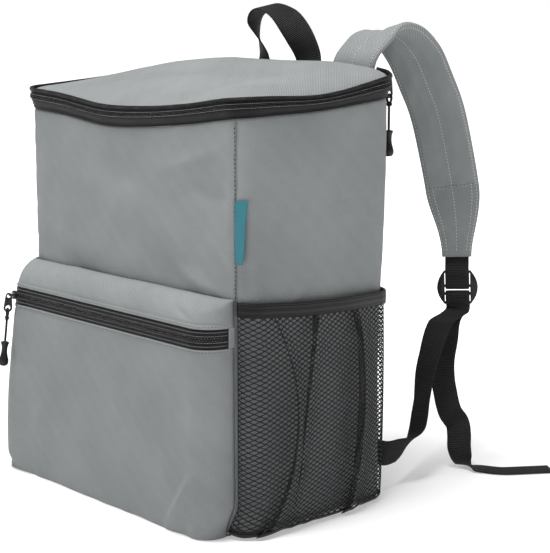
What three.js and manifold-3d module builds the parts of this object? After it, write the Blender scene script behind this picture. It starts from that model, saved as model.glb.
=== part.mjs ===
// Cooler backpack: a padded box body with a zipped lid, a zipped front pocket, a net pocket on each
// side, a webbing handle and two padded shoulder straps with adjusters.
// Millimetres, +Z up. The front faces -Y, the wearer's back goes against +Y, and the origin is the
// middle of the body's base, on the floor.

import * as THREE from 'three';
import { mergeVertices } from 'three/addons/utils/BufferGeometryUtils.js';
import Module from 'manifold-3d';

const wasm = await Module();
wasm.setup();

// Driving dimensions: the body
const bodyWidth = 334;
const bodyDepth = 186;
const bodyHeight = 400; // nominal, to the lid's edge; the rim table gives shares of it
const cornerRadius = 20; // upright corners, seen from above
const baseRadius = 9; // where the walls turn under
const wall = 5; // padded wall: cloth, foam and lining
const seamGap = 0.45; // between sewn pieces
const seamWrap = 10; // how far in from each back corner its seam lies
const seamTurn = THREE.MathUtils.degToRad(25); // how far round each front corner its seam lies

// Driving dimensions: the lid and its zip
const lidThickness = 6;
const lidDome = 5;
const tapeThickness = 1.6;
const chainThickness = 2.8;
const bindingThickness = 3.2;
const bandOverhang = 3; // how far the zip band swells past the walls

// Driving dimensions: the front pocket
const pocketHeight = 223;
const pocketLift = 0.3; // the pocket's lower edge is just clear of the floor
const pocketDepth = 30;
const pocketCloth = 2;
const pocketCornerRun = 26;

// Driving dimensions: the net side pockets
const netThickness = 1;
const netStandOff = 1.6; // between the side panel and the net along its sewn edges
const netBelly = 11; // how far the net stands out in the middle
const netFold = 3.2; // depth of its upright folds
const netFaceColumns = 7;
const netRows = 6;
const netHem = 9;
const netSelvage = 12;
const netHoleShare = 0.8;
const netBindingHeight = 12;
const netBindingThickness = 2.6;

// Driving dimensions: the straps, the handle and the label
const strapWidth = 56;
const strapThickness = 7;
const strapEndWidth = 31;
const webbingWidth = 25;
const webbingThickness = 1.5;
const handleWidth = 28;
const handleThickness = 1.8;
const sewnGap = 0.9; // between a sewn-on strap end and what it is sewn to
const labelLength = 55;
const labelReach = 12;
const labelThickness = 1;

// Driving dimensions: the strap adjusters
const adjusterHeight = 36;
const adjusterWidth = 34;
const adjusterEar = 6; // how far each side bows out
const adjusterDrop = 15; // between the padded strap's end and the adjuster
const adjusterPlate = 2.6;
const adjusterRail = 6; // thickness of the side rails
const adjusterBar = 2.6;
const upperBarAt = -1.5; // from the adjuster's middle, down the strap
const lowerBarAt = 7;
const webbingTurn = 2.9; // radius of the webbing's middle where it goes round a bar

// Driving dimensions: the zip sliders and their pulls
const sliderLength = 12;
const sliderWidth = 9;
const sliderThickness = 3.4;
const bridgeSpan = 6.4;
const bridgeReach = 3.8;
const bridgeWire = 1.4;
const pullerLength = 20;
const pullerThickness = 1.5;
const eyeRadius = 2; // the eye on the bridge, and its rim's outside
const eyeRim = 3.3;
const cordEyeRadius = 2.6;
const cordEyeRim = 4.5;
const pullCordLength = 32;
const pullCordDiameter = 2.4;
const gripLength = 25;
const gripDiameter = 10;
const gripSocket = 7; // how deep the cord goes into the grip
const gripRows = [
  { down: 1, width: 0 },
  { down: 1, width: 0.6 },
  { down: 0.9, width: 0.95 },
  { down: 0.76, width: 1 },
  { down: 0.6, width: 0.78 },
  { down: 0.4, width: 0.6 },
  { down: 0.18, width: 0.64 },
  { down: 0.04, width: 0.84 },
  { down: 0, width: 0.78 },
];
const zipShort = 2; // how far before the back seam the lid's zip ends
const lidSliderTurn = THREE.MathUtils.degToRad(90); // round the right back corner
const pocketPullSwing = THREE.MathUtils.degToRad(6.5);
const pocketSliderAt = -0.887; // across the pocket, from -1 to 1

const halfWidth = bodyWidth / 2;
const halfDepth = bodyDepth / 2;

// How high the body's top seam and the lid's edge run, as shares of bodyHeight. `at` counts the
// way round: 0 is the middle of the front, 1 and -1 its corners, 2 and -2 the back corners.
const rimRows = [
  { at: -3.0, seam: 0.988, edge: 1.063 },
  { at: -2.43, seam: 0.988, edge: 1.063 },
  { at: -2.1, seam: 0.985, edge: 1.047 },
  { at: -2.0, seam: 0.982, edge: 1.038 },
  { at: -1.5, seam: 0.962, edge: 1.012 },
  { at: -1.0, seam: 0.944, edge: 0.994 },
  { at: -0.62, seam: 0.934, edge: 0.984 },
  { at: -0.18, seam: 0.917, edge: 0.965 },
  { at: 0.25, seam: 0.924, edge: 0.968 },
  { at: 0.6, seam: 0.938, edge: 0.98 },
  { at: 1.0, seam: 0.957, edge: 1.0 },
  { at: 1.5, seam: 0.965, edge: 1.0 },
  { at: 2.0, seam: 0.985, edge: 1.038 },
  { at: 2.1, seam: 0.987, edge: 1.047 },
  { at: 2.43, seam: 0.988, edge: 1.063 },
  { at: 3.0, seam: 0.988, edge: 1.063 },
];

// How far each face puffs out at its middle, as shares of bodyDepth, up the body
const puffRows = [
  { up: 0, front: 0, side: 0, back: 0 },
  { up: 0.12, front: 0.008, side: 0.01, back: 0.006 },
  { up: 0.35, front: 0.012, side: 0.02, back: 0.01 },
  { up: 0.6, front: 0.016, side: 0.026, back: 0.012 },
  { up: 0.85, front: 0.012, side: 0.012, back: 0.008 },
  { up: 1, front: 0.004, side: 0.002, back: 0 },
];

// How far the back leans out, as shares of bodyDepth, up the body
const leanRows = [
  { up: 0, lean: 0 },
  { up: 0.5, lean: 0.004 },
  { up: 0.65, lean: 0.017 },
  { up: 0.8, lean: 0.028 },
  { up: 1, lean: 0.038 },
];

// The front pocket's outline seen from the side: up as shares of pocketHeight, out of pocketDepth
const pocketRows = [
  { up: 0, out: 0.8 },
  { up: 0.03, out: 0.87 },
  { up: 0.12, out: 0.93 },
  { up: 0.35, out: 0.99 },
  { up: 0.6, out: 1.01 },
  { up: 0.8, out: 1 },
  { up: 0.885, out: 0.95 },
  { up: 0.93, out: 0.86 },
  { up: 0.97, out: 0.66 },
  { up: 0.992, out: 0.38 },
  { up: 1, out: 0.075 },
];
// How far the pocket's corners are pushed out, as shares of pocketDepth, up the pocket
const pocketCornerRows = [
  { up: 0, left: 0.86, right: 0.05 },
  { up: 0.3, left: 0.74, right: 0.05 },
  { up: 0.6, left: 0.48, right: 0.04 },
  { up: 0.8, left: 0.28, right: 0.04 },
  { up: 0.92, left: 0.2, right: 0.03 },
  { up: 1, left: 0.1, right: 0.02 },
];
const pocketZip = { from: 0.806, to: 0.884 }; // shares of pocketHeight
const pocketZipChain = { from: 0.835, to: 0.857 };
const pocketZipReach = 0.955; // how far across the pocket its zip runs

// The lid's zip band, from the body's seam (0) to the lid's edge (1)
const bandParts = {
  lid_zip_lower_tape: { from: 0, to: 0.46, thickness: tapeThickness, out: 0 },
  lid_zip_chain: { from: 0.48, to: 0.7, thickness: chainThickness, out: 1.2 },
  lid_zip_upper_tape: { from: 0.72, to: 0.82, thickness: tapeThickness, out: 0 },
  lid_binding: { from: 0.84, to: 1.03, thickness: bindingThickness, out: 1.4 },
};

// The net pockets: the top edge as shares of bodyHeight, and the folds as shares of netFold,
// from the front seam (0) to the back seam (1)
const netRowsAcross = [
  { across: 0, top: 0.551, fold: 0 },
  { across: 0.14, top: 0.546, fold: 0.35 },
  { across: 0.28, top: 0.54, fold: -0.9 },
  { across: 0.4, top: 0.537, fold: 0.75 },
  { across: 0.52, top: 0.534, fold: -0.65 },
  { across: 0.66, top: 0.531, fold: 0.7 },
  { across: 0.79, top: 0.528, fold: -1 },
  { across: 0.9, top: 0.525, fold: 0.4 },
  { across: 1, top: 0.524, fold: 0 },
];

// Strap routes, as shares: x of half the width, back of bodyDepth behind the back face there, up of
// bodyHeight. The w columns are the direction of the strap's width.
const padRoutes = {
  right: [
    { x: 0.61, back: 0, up: 0.93, wx: 1, wy: 0, wz: 0 },
    { x: 0.61, back: 0, up: 0.985, wx: 1, wy: 0, wz: 0 },
    { x: 0.611, back: 0.012, up: 1.026, wx: 1, wy: 0, wz: 0 },
    { x: 0.617, back: 0.034, up: 1.062, wx: 1, wy: 0, wz: 0 },
    { x: 0.625, back: 0.085, up: 1.09, wx: 1, wy: 0.05, wz: 0.05 },
    { x: 0.64, back: 0.145, up: 1.112, wx: 0.97, wy: 0.2, wz: 0.1 },
    { x: 0.66, back: 0.22, up: 1.124, wx: 0.95, wy: 0.27, wz: 0.2 },
    { x: 0.68, back: 0.305, up: 1.112, wx: 0.88, wy: 0.45, wz: 0.12 },
    { x: 0.695, back: 0.415, up: 1.066, wx: 0.78, wy: 0.62, wz: 0 },
    { x: 0.701, back: 0.505, up: 1.0, wx: 0.75, wy: 0.66, wz: 0 },
    { x: 0.707, back: 0.59, up: 0.927, wx: 0.75, wy: 0.66, wz: 0 },
    { x: 0.713, back: 0.675, up: 0.81, wx: 0.77, wy: 0.64, wz: 0 },
    { x: 0.714, back: 0.74, up: 0.71, wx: 0.8, wy: 0.6, wz: 0 },
    { x: 0.718, back: 0.775, up: 0.63, wx: 0.8, wy: 0.6, wz: 0 },
    { x: 0.72, back: 0.795, up: 0.538, wx: 0.8, wy: 0.6, wz: 0 },
  ],
  left: [
    { x: -0.61, back: 0, up: 0.93, wx: 1, wy: 0, wz: 0 },
    { x: -0.61, back: 0, up: 0.975, wx: 1, wy: 0, wz: 0 },
    { x: -0.612, back: 0.03, up: 1.01, wx: 1, wy: 0, wz: 0 },
    { x: -0.615, back: 0.09, up: 1.015, wx: 1, wy: 0, wz: 0 },
    { x: -0.62, back: 0.145, up: 0.97, wx: 1, wy: -0.05, wz: 0 },
    { x: -0.63, back: 0.18, up: 0.88, wx: 1, wy: -0.1, wz: 0 },
    { x: -0.64, back: 0.21, up: 0.77, wx: 1, wy: -0.1, wz: 0 },
    { x: -0.655, back: 0.23, up: 0.65, wx: 1, wy: -0.1, wz: 0 },
    { x: -0.67, back: 0.24, up: 0.53, wx: 1, wy: -0.1, wz: 0 },
    { x: -0.68, back: 0.25, up: 0.4, wx: 1, wy: -0.1, wz: 0 },
  ],
};

// The lower webbing's routes: from the body's lower corner to the adjuster, and on to its free end
const loadRoutes = {
  right: [
    { x: 0.77, back: 0.006, up: 0.104, wx: 0, wy: 0, wz: 1 },
    { x: 0.83, back: 0.02, up: 0.102, wx: 0, wy: 0, wz: 1 },
    { x: 0.885, back: 0.038, up: 0.1, wx: 0, wy: 0.1, wz: 1 },
    { x: 0.904, back: 0.075, up: 0.095, wx: 0, wy: 0.1, wz: 1 },
    { x: 0.898, back: 0.165, up: 0.093, wx: 0.1, wy: 0.1, wz: 1 },
    { x: 0.886, back: 0.27, up: 0.1, wx: 0.55, wy: 0.2, wz: 0.8 },
    { x: 0.874, back: 0.35, up: 0.128, wx: 0.9, wy: 0, wz: 0.35 },
    { x: 0.862, back: 0.385, up: 0.165, wx: 1, wy: -0.1, wz: 0 },
    { x: 0.856, back: 0.405, up: 0.202, wx: 1, wy: -0.15, wz: 0 },
    { x: 0.844, back: 0.438, up: 0.265, wx: 1, wy: 0.05, wz: 0 },
    { x: 0.826, back: 0.493, up: 0.312, wx: 0.95, wy: 0.2, wz: 0 },
    { x: 0.796, back: 0.604, up: 0.382, wx: 0.75, wy: 0.66, wz: 0 },
  ],
  left: [
    { x: -0.77, back: 0.006, up: 0.104, wx: 0, wy: 0, wz: 1 },
    { x: -0.83, back: 0.02, up: 0.102, wx: 0, wy: 0, wz: 1 },
    { x: -0.885, back: 0.038, up: 0.1, wx: 0, wy: 0.1, wz: 1 },
    { x: -0.9, back: 0.09, up: 0.09, wx: -0.1, wy: 0.1, wz: 1 },
    { x: -0.89, back: 0.2, up: 0.06, wx: -0.4, wy: 0.2, wz: 0.9 },
    { x: -0.84, back: 0.32, up: 0.05, wx: -0.9, wy: 0.3, wz: 0.4 },
    { x: -0.77, back: 0.33, up: 0.09, wx: -1, wy: 0.2, wz: 0.1 },
    { x: -0.71, back: 0.27, up: 0.16, wx: -1, wy: 0.1, wz: 0 },
  ],
};
const tailRoutes = {
  right: [
    { x: 0.766, back: 0.708, up: 0.385, wx: 0.75, wy: 0.66, wz: 0 },
    { x: 0.768, back: 0.689, up: 0.334, wx: 0.72, wy: 0.69, wz: 0 },
    { x: 0.778, back: 0.655, up: 0.283, wx: 0.7, wy: 0.71, wz: 0 },
    { x: 0.796, back: 0.641, up: 0.237, wx: 0.7, wy: 0.71, wz: 0 },
    { x: 0.814, back: 0.643, up: 0.201, wx: 0.7, wy: 0.71, wz: 0 },
    { x: 0.85, back: 0.653, up: 0.148, wx: 0.7, wy: 0.71, wz: 0 },
    { x: 0.886, back: 0.684, up: 0.116, wx: 0.7, wy: 0.71, wz: 0 },
    { x: 0.91, back: 0.675, up: 0.088, wx: 0.8, wy: 0.6, wz: 0 },
    { x: 0.93, back: 0.66, up: 0.055, wx: 0.85, wy: 0.5, wz: 0 },
    { x: 0.952, back: 0.675, up: 0.022, wx: 0.95, wy: 0.2, wz: 0 },
    { x: 0.99, back: 0.712, up: 0.005, wx: 0.8, wy: -0.4, wz: 0 },
    { x: 1.06, back: 0.755, up: 0.001, wx: 0.55, wy: -0.8, wz: 0 },
    { x: 1.15, back: 0.8, up: 0.001, wx: 0.55, wy: -0.8, wz: 0 },
    { x: 1.25, back: 0.92, up: 0.001, wx: 0.75, wy: -0.65, wz: 0 },
    { x: 1.335, back: 1.03, up: 0.001, wx: 0.8, wy: -0.6, wz: 0 },
  ],
  left: [
    { x: -0.69, back: 0.36, up: 0.17, wx: 1, wy: -0.1, wz: 0 },
    { x: -0.68, back: 0.41, up: 0.11, wx: 1, wy: 0, wz: 0 },
    { x: -0.67, back: 0.45, up: 0.05, wx: 1, wy: 0, wz: 0 },
    { x: -0.65, back: 0.52, up: 0.008, wx: 1, wy: 0, wz: 0 },
    { x: -0.61, back: 0.62, up: 0.001, wx: 1, wy: -0.2, wz: 0 },
    { x: -0.5, back: 0.74, up: 0.001, wx: 0.7, wy: -0.75, wz: 0 },
    { x: -0.3, back: 0.81, up: 0.001, wx: 0.2, wy: -1, wz: 0 },
    { x: -0.05, back: 0.82, up: 0.001, wx: 0, wy: -1, wz: 0 },
  ],
};

const handleRoute = [
  { x: -0.17, back: 0, up: 0.95, wx: 1, wy: 0, wz: 0 },
  { x: -0.17, back: 0, up: 1.01, wx: 1, wy: 0, wz: 0 },
  { x: -0.175, back: 0.04, up: 1.06, wx: 1, wy: -0.35, wz: 0 },
  { x: -0.205, back: 0.03, up: 1.115, wx: 0.75, wy: -0.7, wz: 0 },
  { x: -0.175, back: -0.01, up: 1.166, wx: 0.25, wy: -1, wz: 0 },
  { x: -0.05, back: -0.045, up: 1.194, wx: -0.1, wy: -1, wz: -0.2 },
  { x: 0.1, back: -0.045, up: 1.176, wx: -0.4, wy: -1, wz: -0.2 },
  { x: 0.19, back: 0, up: 1.122, wx: -0.75, wy: -0.7, wz: 0 },
  { x: 0.23, back: 0.04, up: 1.06, wx: -1, wy: -0.35, wz: 0 },
  { x: 0.23, back: 0, up: 1.01, wx: -1, wy: 0, wz: 0 },
  { x: 0.23, back: 0, up: 0.95, wx: -1, wy: 0, wz: 0 },
];

const material = (color, roughness, metalness = 0) =>
  new THREE.MeshStandardMaterial({ color, roughness, metalness });
const greyCloth = material(0x8f9394, 0.9);
const blackWebbing = material(0x1b1c1e, 0.85);
const blackNet = material(0x202123, 0.9);
const blackZip = material(0x18191b, 0.6);
const blackMetal = material(0x1a1a1c, 0.35, 0.8);
const blackPlastic = material(0x151618, 0.4);
const tealLabel = material(0x3f93a8, 0.7);

const backpack = new THREE.Group();
backpack.name = 'cooler_backpack';

function addPiece(name, geometry, look) {
  const mesh = new THREE.Mesh(geometry, look);
  mesh.name = name;
  backpack.add(mesh);
  return mesh;
}

// A column of a table at a place between its rows, with a smooth curve through them
function readTable(rows, key, column, place) {
  const last = rows.length - 1;
  let i = rows.findIndex((row) => row[key] > place) - 1;
  if (i === -2) i = last - 1;
  i = THREE.MathUtils.clamp(i, 0, last - 1);
  const [before, from, to, after] = [i - 1, i, i + 1, i + 2].map((n) => rows[THREE.MathUtils.clamp(n, 0, last)]);
  const span = to[key] - from[key];
  const slope = (a, b) => (b[key] === a[key] ? 0 : (b[column] - a[column]) / (b[key] - a[key]));
  const t = THREE.MathUtils.clamp((place - from[key]) / span, 0, 1);
  const slopeFrom = slope(before, to) * span;
  const slopeTo = slope(from, after) * span;
  const t2 = t * t;
  const t3 = t2 * t;
  return (
    (2 * t3 - 3 * t2 + 1) * from[column] +
    (t3 - 2 * t2 + t) * slopeFrom +
    (3 * t2 - 2 * t3) * to[column] +
    (t3 - t2) * slopeTo
  );
}

// The body's plan: lengths along the outline from the middle of the front
const quarterArc = (cornerRadius * Math.PI) / 2;
const frontFlat = halfWidth - cornerRadius;
const sideFlat = bodyDepth - 2 * cornerRadius;
const frontCornerAt = frontFlat + quarterArc / 2;
const backCornerAt = frontCornerAt + quarterArc + sideFlat;
const backMiddleAt = backCornerAt + quarterArc / 2 + frontFlat;
const frontSeamAt = frontFlat + cornerRadius * seamTurn;
const backArcEnd = frontFlat + quarterArc + sideFlat + quarterArc;
const backSeamAt = backArcEnd + seamWrap;
const lidSliderAt = frontFlat + quarterArc + sideFlat + cornerRadius * lidSliderTurn;

// A point of the plan outline and the direction out of it. along is negative round by the left.
function planPoint(along, inset = 0) {
  const side = Math.sign(along) || 1;
  const reach = Math.abs(along);
  const radius = cornerRadius - inset;
  let x;
  let y;
  let turn;
  if (reach < frontFlat) {
    [x, y, turn] = [reach, -halfDepth + inset, 0];
  } else if (reach < frontFlat + quarterArc) {
    turn = (reach - frontFlat) / cornerRadius;
    x = frontFlat + radius * Math.sin(turn);
    y = -halfDepth + cornerRadius - radius * Math.cos(turn);
  } else if (reach < frontFlat + quarterArc + sideFlat) {
    [x, turn] = [halfWidth - inset, Math.PI / 2];
    y = -halfDepth + cornerRadius + (reach - frontFlat - quarterArc);
  } else if (reach < backArcEnd) {
    turn = Math.PI / 2 + (reach - frontFlat - quarterArc - sideFlat) / cornerRadius;
    x = frontFlat + radius * Math.sin(turn);
    y = halfDepth - cornerRadius - radius * Math.cos(turn);
  } else {
    [x, y, turn] = [frontFlat - (reach - backArcEnd), halfDepth - inset, Math.PI];
  }
  return { x: side * x, y, outX: side * Math.sin(turn), outY: -Math.cos(turn) };
}

// The way round as the rim table counts it: front middle 0, front corners 1, back corners 2
function wayRound(along) {
  const reach = Math.abs(along);
  const side = Math.sign(along);
  if (reach < frontCornerAt) return (side * reach) / frontCornerAt;
  if (reach < backCornerAt) return side * (1 + (reach - frontCornerAt) / (backCornerAt - frontCornerAt));
  return side * (2 + (reach - backCornerAt) / (backMiddleAt - backCornerAt));
}

const seamHeight = (along) => bodyHeight * readTable(rimRows, 'at', 'seam', wayRound(along));
const edgeHeight = (along) => bodyHeight * readTable(rimRows, 'at', 'edge', wayRound(along));

// How far the face at `along` puffs out at height z
function puff(along, z) {
  const way = Math.abs(wayRound(along));
  const up = z / bodyHeight;
  const face = way < 1 ? 'front' : way < 2 ? 'side' : 'back';
  const middle = way < 1 ? 0 : way < 2 ? 1.5 : 3;
  const reach = way < 1 || way >= 2 ? 1 : 0.5;
  const share = Math.cos((Math.min(Math.abs(way - middle) / reach, 1) * Math.PI) / 2);
  return bodyDepth * readTable(puffRows, 'up', face, up) * share ** 0.8;
}

// y once the body's back leans out at height z
function leaned(y, z) {
  const lean = readTable(leanRows, 'up', 'lean', THREE.MathUtils.clamp(z / bodyHeight, 0, 1));
  return y + lean * (y + halfDepth);
}

// A point of the body's outer skin, `out` beyond it
function skinPoint(along, z, out = 0) {
  const { x, y, outX, outY } = planPoint(along);
  const push = puff(along, z) + out;
  return new THREE.Vector3(x + outX * push, leaned(y + outY * push, z), z);
}

// 0 at both ends of a share, 1 in its middle
const arch = (share) => Math.sin(Math.PI * THREE.MathUtils.clamp(share, 0, 1));

// Even stations between two places
const stations = (from, to, count) =>
  Array.from({ length: count + 1 }, (_, i) => THREE.MathUtils.lerp(from, to, i / count));

function geometryOf(points, faces) {
  const geometry = new THREE.BufferGeometry();
  geometry.setAttribute('position', new THREE.Float32BufferAttribute(points.flatMap((p) => [p.x, p.y, p.z]), 3));
  geometry.setIndex(faces);
  geometry.computeVertexNormals();
  return geometry;
}

// A wall behind an outer surface: surface(a, b) gives its points, and it faces where a cross b points.
// holes(i, j) says which cells are cut through, and by what share of the cell.
function wallSolid(surface, across, up, thickness, holes = () => 0) {
  const columns = across.length;
  const rows = up.length;
  const step = 1e-3;
  const points = [];
  const faces = [];
  const quad = (a, b, c, d) => faces.push(a, b, c, a, c, d);
  const normalAt = (a, b) =>
    surface(a + step, b)
      .sub(surface(a - step, b))
      .cross(surface(a, b + step).sub(surface(a, b - step)))
      .normalize();
  for (const side of [0, thickness]) {
    for (const b of up) {
      for (const a of across) points.push(surface(a, b).addScaledVector(normalAt(a, b), -side));
    }
  }
  const inner = columns * rows;
  const at = (i, j) => j * columns + i;
  for (let j = 0; j < rows - 1; j += 1) {
    for (let i = 0; i < columns - 1; i += 1) {
      const cell = [at(i, j), at(i + 1, j), at(i + 1, j + 1), at(i, j + 1)];
      const share = holes(i, j);
      if (share) {
        const [cutOuter, cutInner] = [0, inner].map((offset) => {
          const corners = cell.map((n) => points[n + offset]);
          const first = points.length;
          // The hole is a diamond whose corners lie towards the middles of the cell's sides
          const middle = corners.reduce((sum, p) => sum.add(p), new THREE.Vector3()).multiplyScalar(0.25);
          corners.forEach((p, n) => {
            const sideMiddle = p.clone().add(corners[(n + 1) % 4]).multiplyScalar(0.5);
            points.push(middle.clone().lerp(sideMiddle, share));
          });
          return first;
        });
        for (let n = 0; n < 4; n += 1) {
          const m = (n + 1) % 4;
          faces.push(cell[n], cell[m], cutOuter + n, cell[m], cutOuter + m, cutOuter + n);
          faces.push(cell[m] + inner, cell[n] + inner, cutInner + n, cutInner + m, cell[m] + inner, cutInner + n);
          quad(cutOuter + n, cutOuter + m, cutInner + m, cutInner + n);
        }
      } else {
        quad(...cell);
        quad(...cell.map((n) => n + inner).reverse());
      }
    }
  }
  for (let i = 0; i < columns - 1; i += 1) {
    quad(at(i + 1, 0), at(i, 0), at(i, 0) + inner, at(i + 1, 0) + inner);
    quad(at(i, rows - 1), at(i + 1, rows - 1), at(i + 1, rows - 1) + inner, at(i, rows - 1) + inner);
  }
  for (let j = 0; j < rows - 1; j += 1) {
    quad(at(0, j), at(0, j + 1), at(0, j + 1) + inner, at(0, j) + inner);
    quad(at(columns - 1, j + 1), at(columns - 1, j), at(columns - 1, j) + inner, at(columns - 1, j + 1) + inner);
  }
  return geometryOf(points, faces);
}

// Joins closed geometries into one solid
function joined(geometries) {
  const solids = geometries.map((geometry) => {
    const bare = geometry.clone();
    bare.deleteAttribute('normal');
    bare.deleteAttribute('uv');
    const merged = mergeVertices(bare, 1e-4);
    const mesh = new wasm.Mesh({
      numProp: 3,
      vertProperties: merged.attributes.position.array,
      triVerts: new Uint32Array(merged.index.array),
    });
    return new wasm.Manifold(mesh);
  });
  const mesh = solids.reduce((sum, solid) => sum.add(solid)).getMesh();
  const geometry = new THREE.BufferGeometry();
  geometry.setAttribute('position', new THREE.BufferAttribute(mesh.vertProperties, 3));
  geometry.setIndex(new THREE.BufferAttribute(mesh.triVerts, 1));
  return geometry;
}

// Stations for the whole way round, with so many steps on each corner and along each face
function wholeRound(cornerSteps, faceSteps) {
  const sideEnd = frontFlat + quarterArc + sideFlat;
  const half = [
    ...stations(0, frontFlat, faceSteps),
    ...stations(frontFlat, frontFlat + quarterArc, cornerSteps).slice(1),
    ...stations(frontFlat + quarterArc, sideEnd, faceSteps).slice(1),
    ...stations(sideEnd, backArcEnd, cornerSteps).slice(1),
    ...stations(backArcEnd, backMiddleAt, faceSteps).slice(1),
  ];
  return [...half.slice(1).map((along) => -along).reverse(), ...half.slice(0, -1)];
}

// The body: front, side and back walls that turn under at the base, and the base between them
const curlShare = 0.06; // how much of the wall's own height coordinate the turn under takes
function bodyWall(along, up) {
  if (up < curlShare) {
    const turn = (up / curlShare) * (Math.PI / 2);
    return skinPoint(along, baseRadius * (1 - Math.cos(turn)), -baseRadius * (1 - Math.sin(turn)));
  }
  const rise = (up - curlShare) / (1 - curlShare);
  const behind = Math.abs(along) > backSeamAt;
  const top = (behind ? edgeHeight(along) - lidThickness - 3 * seamGap : seamHeight(along)) - seamGap;
  return skinPoint(along, THREE.MathUtils.lerp(baseRadius, top, rise));
}
const curlStations = stations(0, curlShare, 3).slice(0, -1);

function addBody() {
  const wallRows = (count) => [...curlStations, ...stations(curlShare, 1, count)];
  const halfGap = seamGap / 2;
  addPiece(
    'front_panel',
    wallSolid(
      bodyWall,
      [
        -frontSeamAt + halfGap,
        ...stations(-frontFlat, frontFlat, 10),
        frontSeamAt - halfGap,
      ],
      wallRows(6),
      wall,
    ),
    greyCloth,
  );
  const cornerEnd = frontFlat + quarterArc;
  const sideStations = [
    ...stations(frontSeamAt + halfGap, cornerEnd, 3),
    ...stations(cornerEnd, cornerEnd + sideFlat, 6).slice(1),
    ...stations(cornerEnd + sideFlat, backArcEnd, 4).slice(1),
    backSeamAt - halfGap,
  ];
  addPiece('side_panel_right', wallSolid(bodyWall, sideStations, wallRows(6), wall), greyCloth);
  addPiece(
    'side_panel_left',
    wallSolid(bodyWall, sideStations.map((along) => -along).reverse(), wallRows(6), wall),
    greyCloth,
  );
  // The back wall's coordinate goes on past the back seam, so its right end is reached first
  const backWall = (across, up) => {
    const reach = backSeamAt + halfGap + (1 - Math.abs(across)) * (backMiddleAt - backSeamAt - halfGap);
    return bodyWall(across < 0 ? -reach : reach, up);
  };
  addPiece('back_panel', wallSolid((a, b) => backWall(-a, b), stations(-1, 1, 8), wallRows(8), wall), greyCloth);

  const outline = wholeRound(3, 1)
    .map((along) => planPoint(along, baseRadius + 2 * seamGap))
    .map(({ x, y }) => new THREE.Vector2(x, y));
  addPiece(
    'base_panel',
    new THREE.ExtrudeGeometry(new THREE.Shape(outline), { depth: wall, bevelEnabled: false }),
    greyCloth,
  );
}

// The lid: a domed padded panel that follows the rim, and the zip band below its edge
const bandPoint = (along, share, out = 0) => {
  const bottom = seamHeight(along);
  const z = THREE.MathUtils.lerp(bottom, edgeHeight(along), share);
  return skinPoint(along, z, out + bandOverhang * THREE.MathUtils.smoothstep(share, 0, 0.6));
};
const zipEndAt = backSeamAt - zipShort;

function lidHeight(x, y, along, ring) {
  const back = THREE.MathUtils.clamp((y + halfDepth) / bodyDepth, 0, 1);
  const frontMiddle = bodyHeight * readTable(rimRows, 'at', 'edge', x / halfWidth);
  const slope = THREE.MathUtils.lerp(frontMiddle, edgeHeight(backMiddleAt), back ** 0.9);
  return THREE.MathUtils.lerp(slope, edgeHeight(along), ring ** 4) + lidDome * (1 - ring ** 2.5);
}

function addLid() {
  const around = wholeRound(4, 5);
  const rings = [0.4, 0.75, 1];
  const inset = Math.max(tapeThickness, bindingThickness - bandParts.lid_binding.out) + 2 * seamGap - bandOverhang;
  const points = [];
  const faces = [];
  const count = around.length;
  for (const drop of [0, lidThickness]) {
    points.push(new THREE.Vector3(0, 0, lidHeight(0, 0, 0, 0) - drop));
    for (const ring of rings) {
      for (const along of around) {
        const { x, y, outX, outY } = planPoint(along, inset);
        const push = puff(along, bodyHeight) * ring;
        const at = new THREE.Vector3((x + outX * push) * ring, (y + outY * push) * ring, 0);
        at.z = lidHeight(at.x, at.y, along, ring) - drop;
        at.y = leaned(at.y, bodyHeight);
        points.push(at);
      }
    }
  }
  const layer = 1 + rings.length * count;
  const at = (ring, i) => 1 + ring * count + (i % count);
  for (let i = 0; i < count; i += 1) {
    faces.push(0, at(0, i), at(0, i + 1));
    faces.push(layer, at(0, i + 1) + layer, at(0, i) + layer);
    for (let ring = 0; ring < rings.length - 1; ring += 1) {
      const cell = [at(ring, i), at(ring + 1, i), at(ring + 1, i + 1), at(ring, i + 1)];
      faces.push(cell[0], cell[1], cell[2], cell[0], cell[2], cell[3]);
      faces.push(cell[2] + layer, cell[1] + layer, cell[0] + layer, cell[3] + layer, cell[2] + layer, cell[0] + layer);
    }
    const [a, b] = [at(rings.length - 1, i), at(rings.length - 1, i + 1)];
    faces.push(a, a + layer, b + layer, a, b + layer, b);
  }
  addPiece('lid_panel', geometryOf(points, faces), greyCloth);

  const across = wholeRound(4, 4).filter((along) => Math.abs(along) < zipEndAt - 1);
  across.unshift(-zipEndAt);
  across.push(zipEndAt);
  for (const [name, part] of Object.entries(bandParts)) {
    const rise = stations(part.from, part.to, 1);
    addPiece(
      name,
      wallSolid((along, share) => bandPoint(along, share, part.out), across, rise, part.thickness),
      blackZip,
    );
  }
}

// The front pocket: its plan is a flat front with a rounded turn back to each front seam
const seamPlan = planPoint(frontSeamAt);
const pocketRoot = -(halfDepth + bodyDepth * 0.016 + seamGap); // clear of the front panel's puff
const pocketFlatShare = 0.84;
const sewnFrom = 0.93; // share of pocketHeight above which the pocket closes on the front

// y of the front's skin at a distance from the middle
function frontSkin(reach, z) {
  const beyond = THREE.MathUtils.clamp((reach - frontFlat) / cornerRadius, 0, 1);
  return skinPoint(beyond > 0 ? frontFlat + cornerRadius * Math.asin(beyond) : reach, z).y;
}

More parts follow.
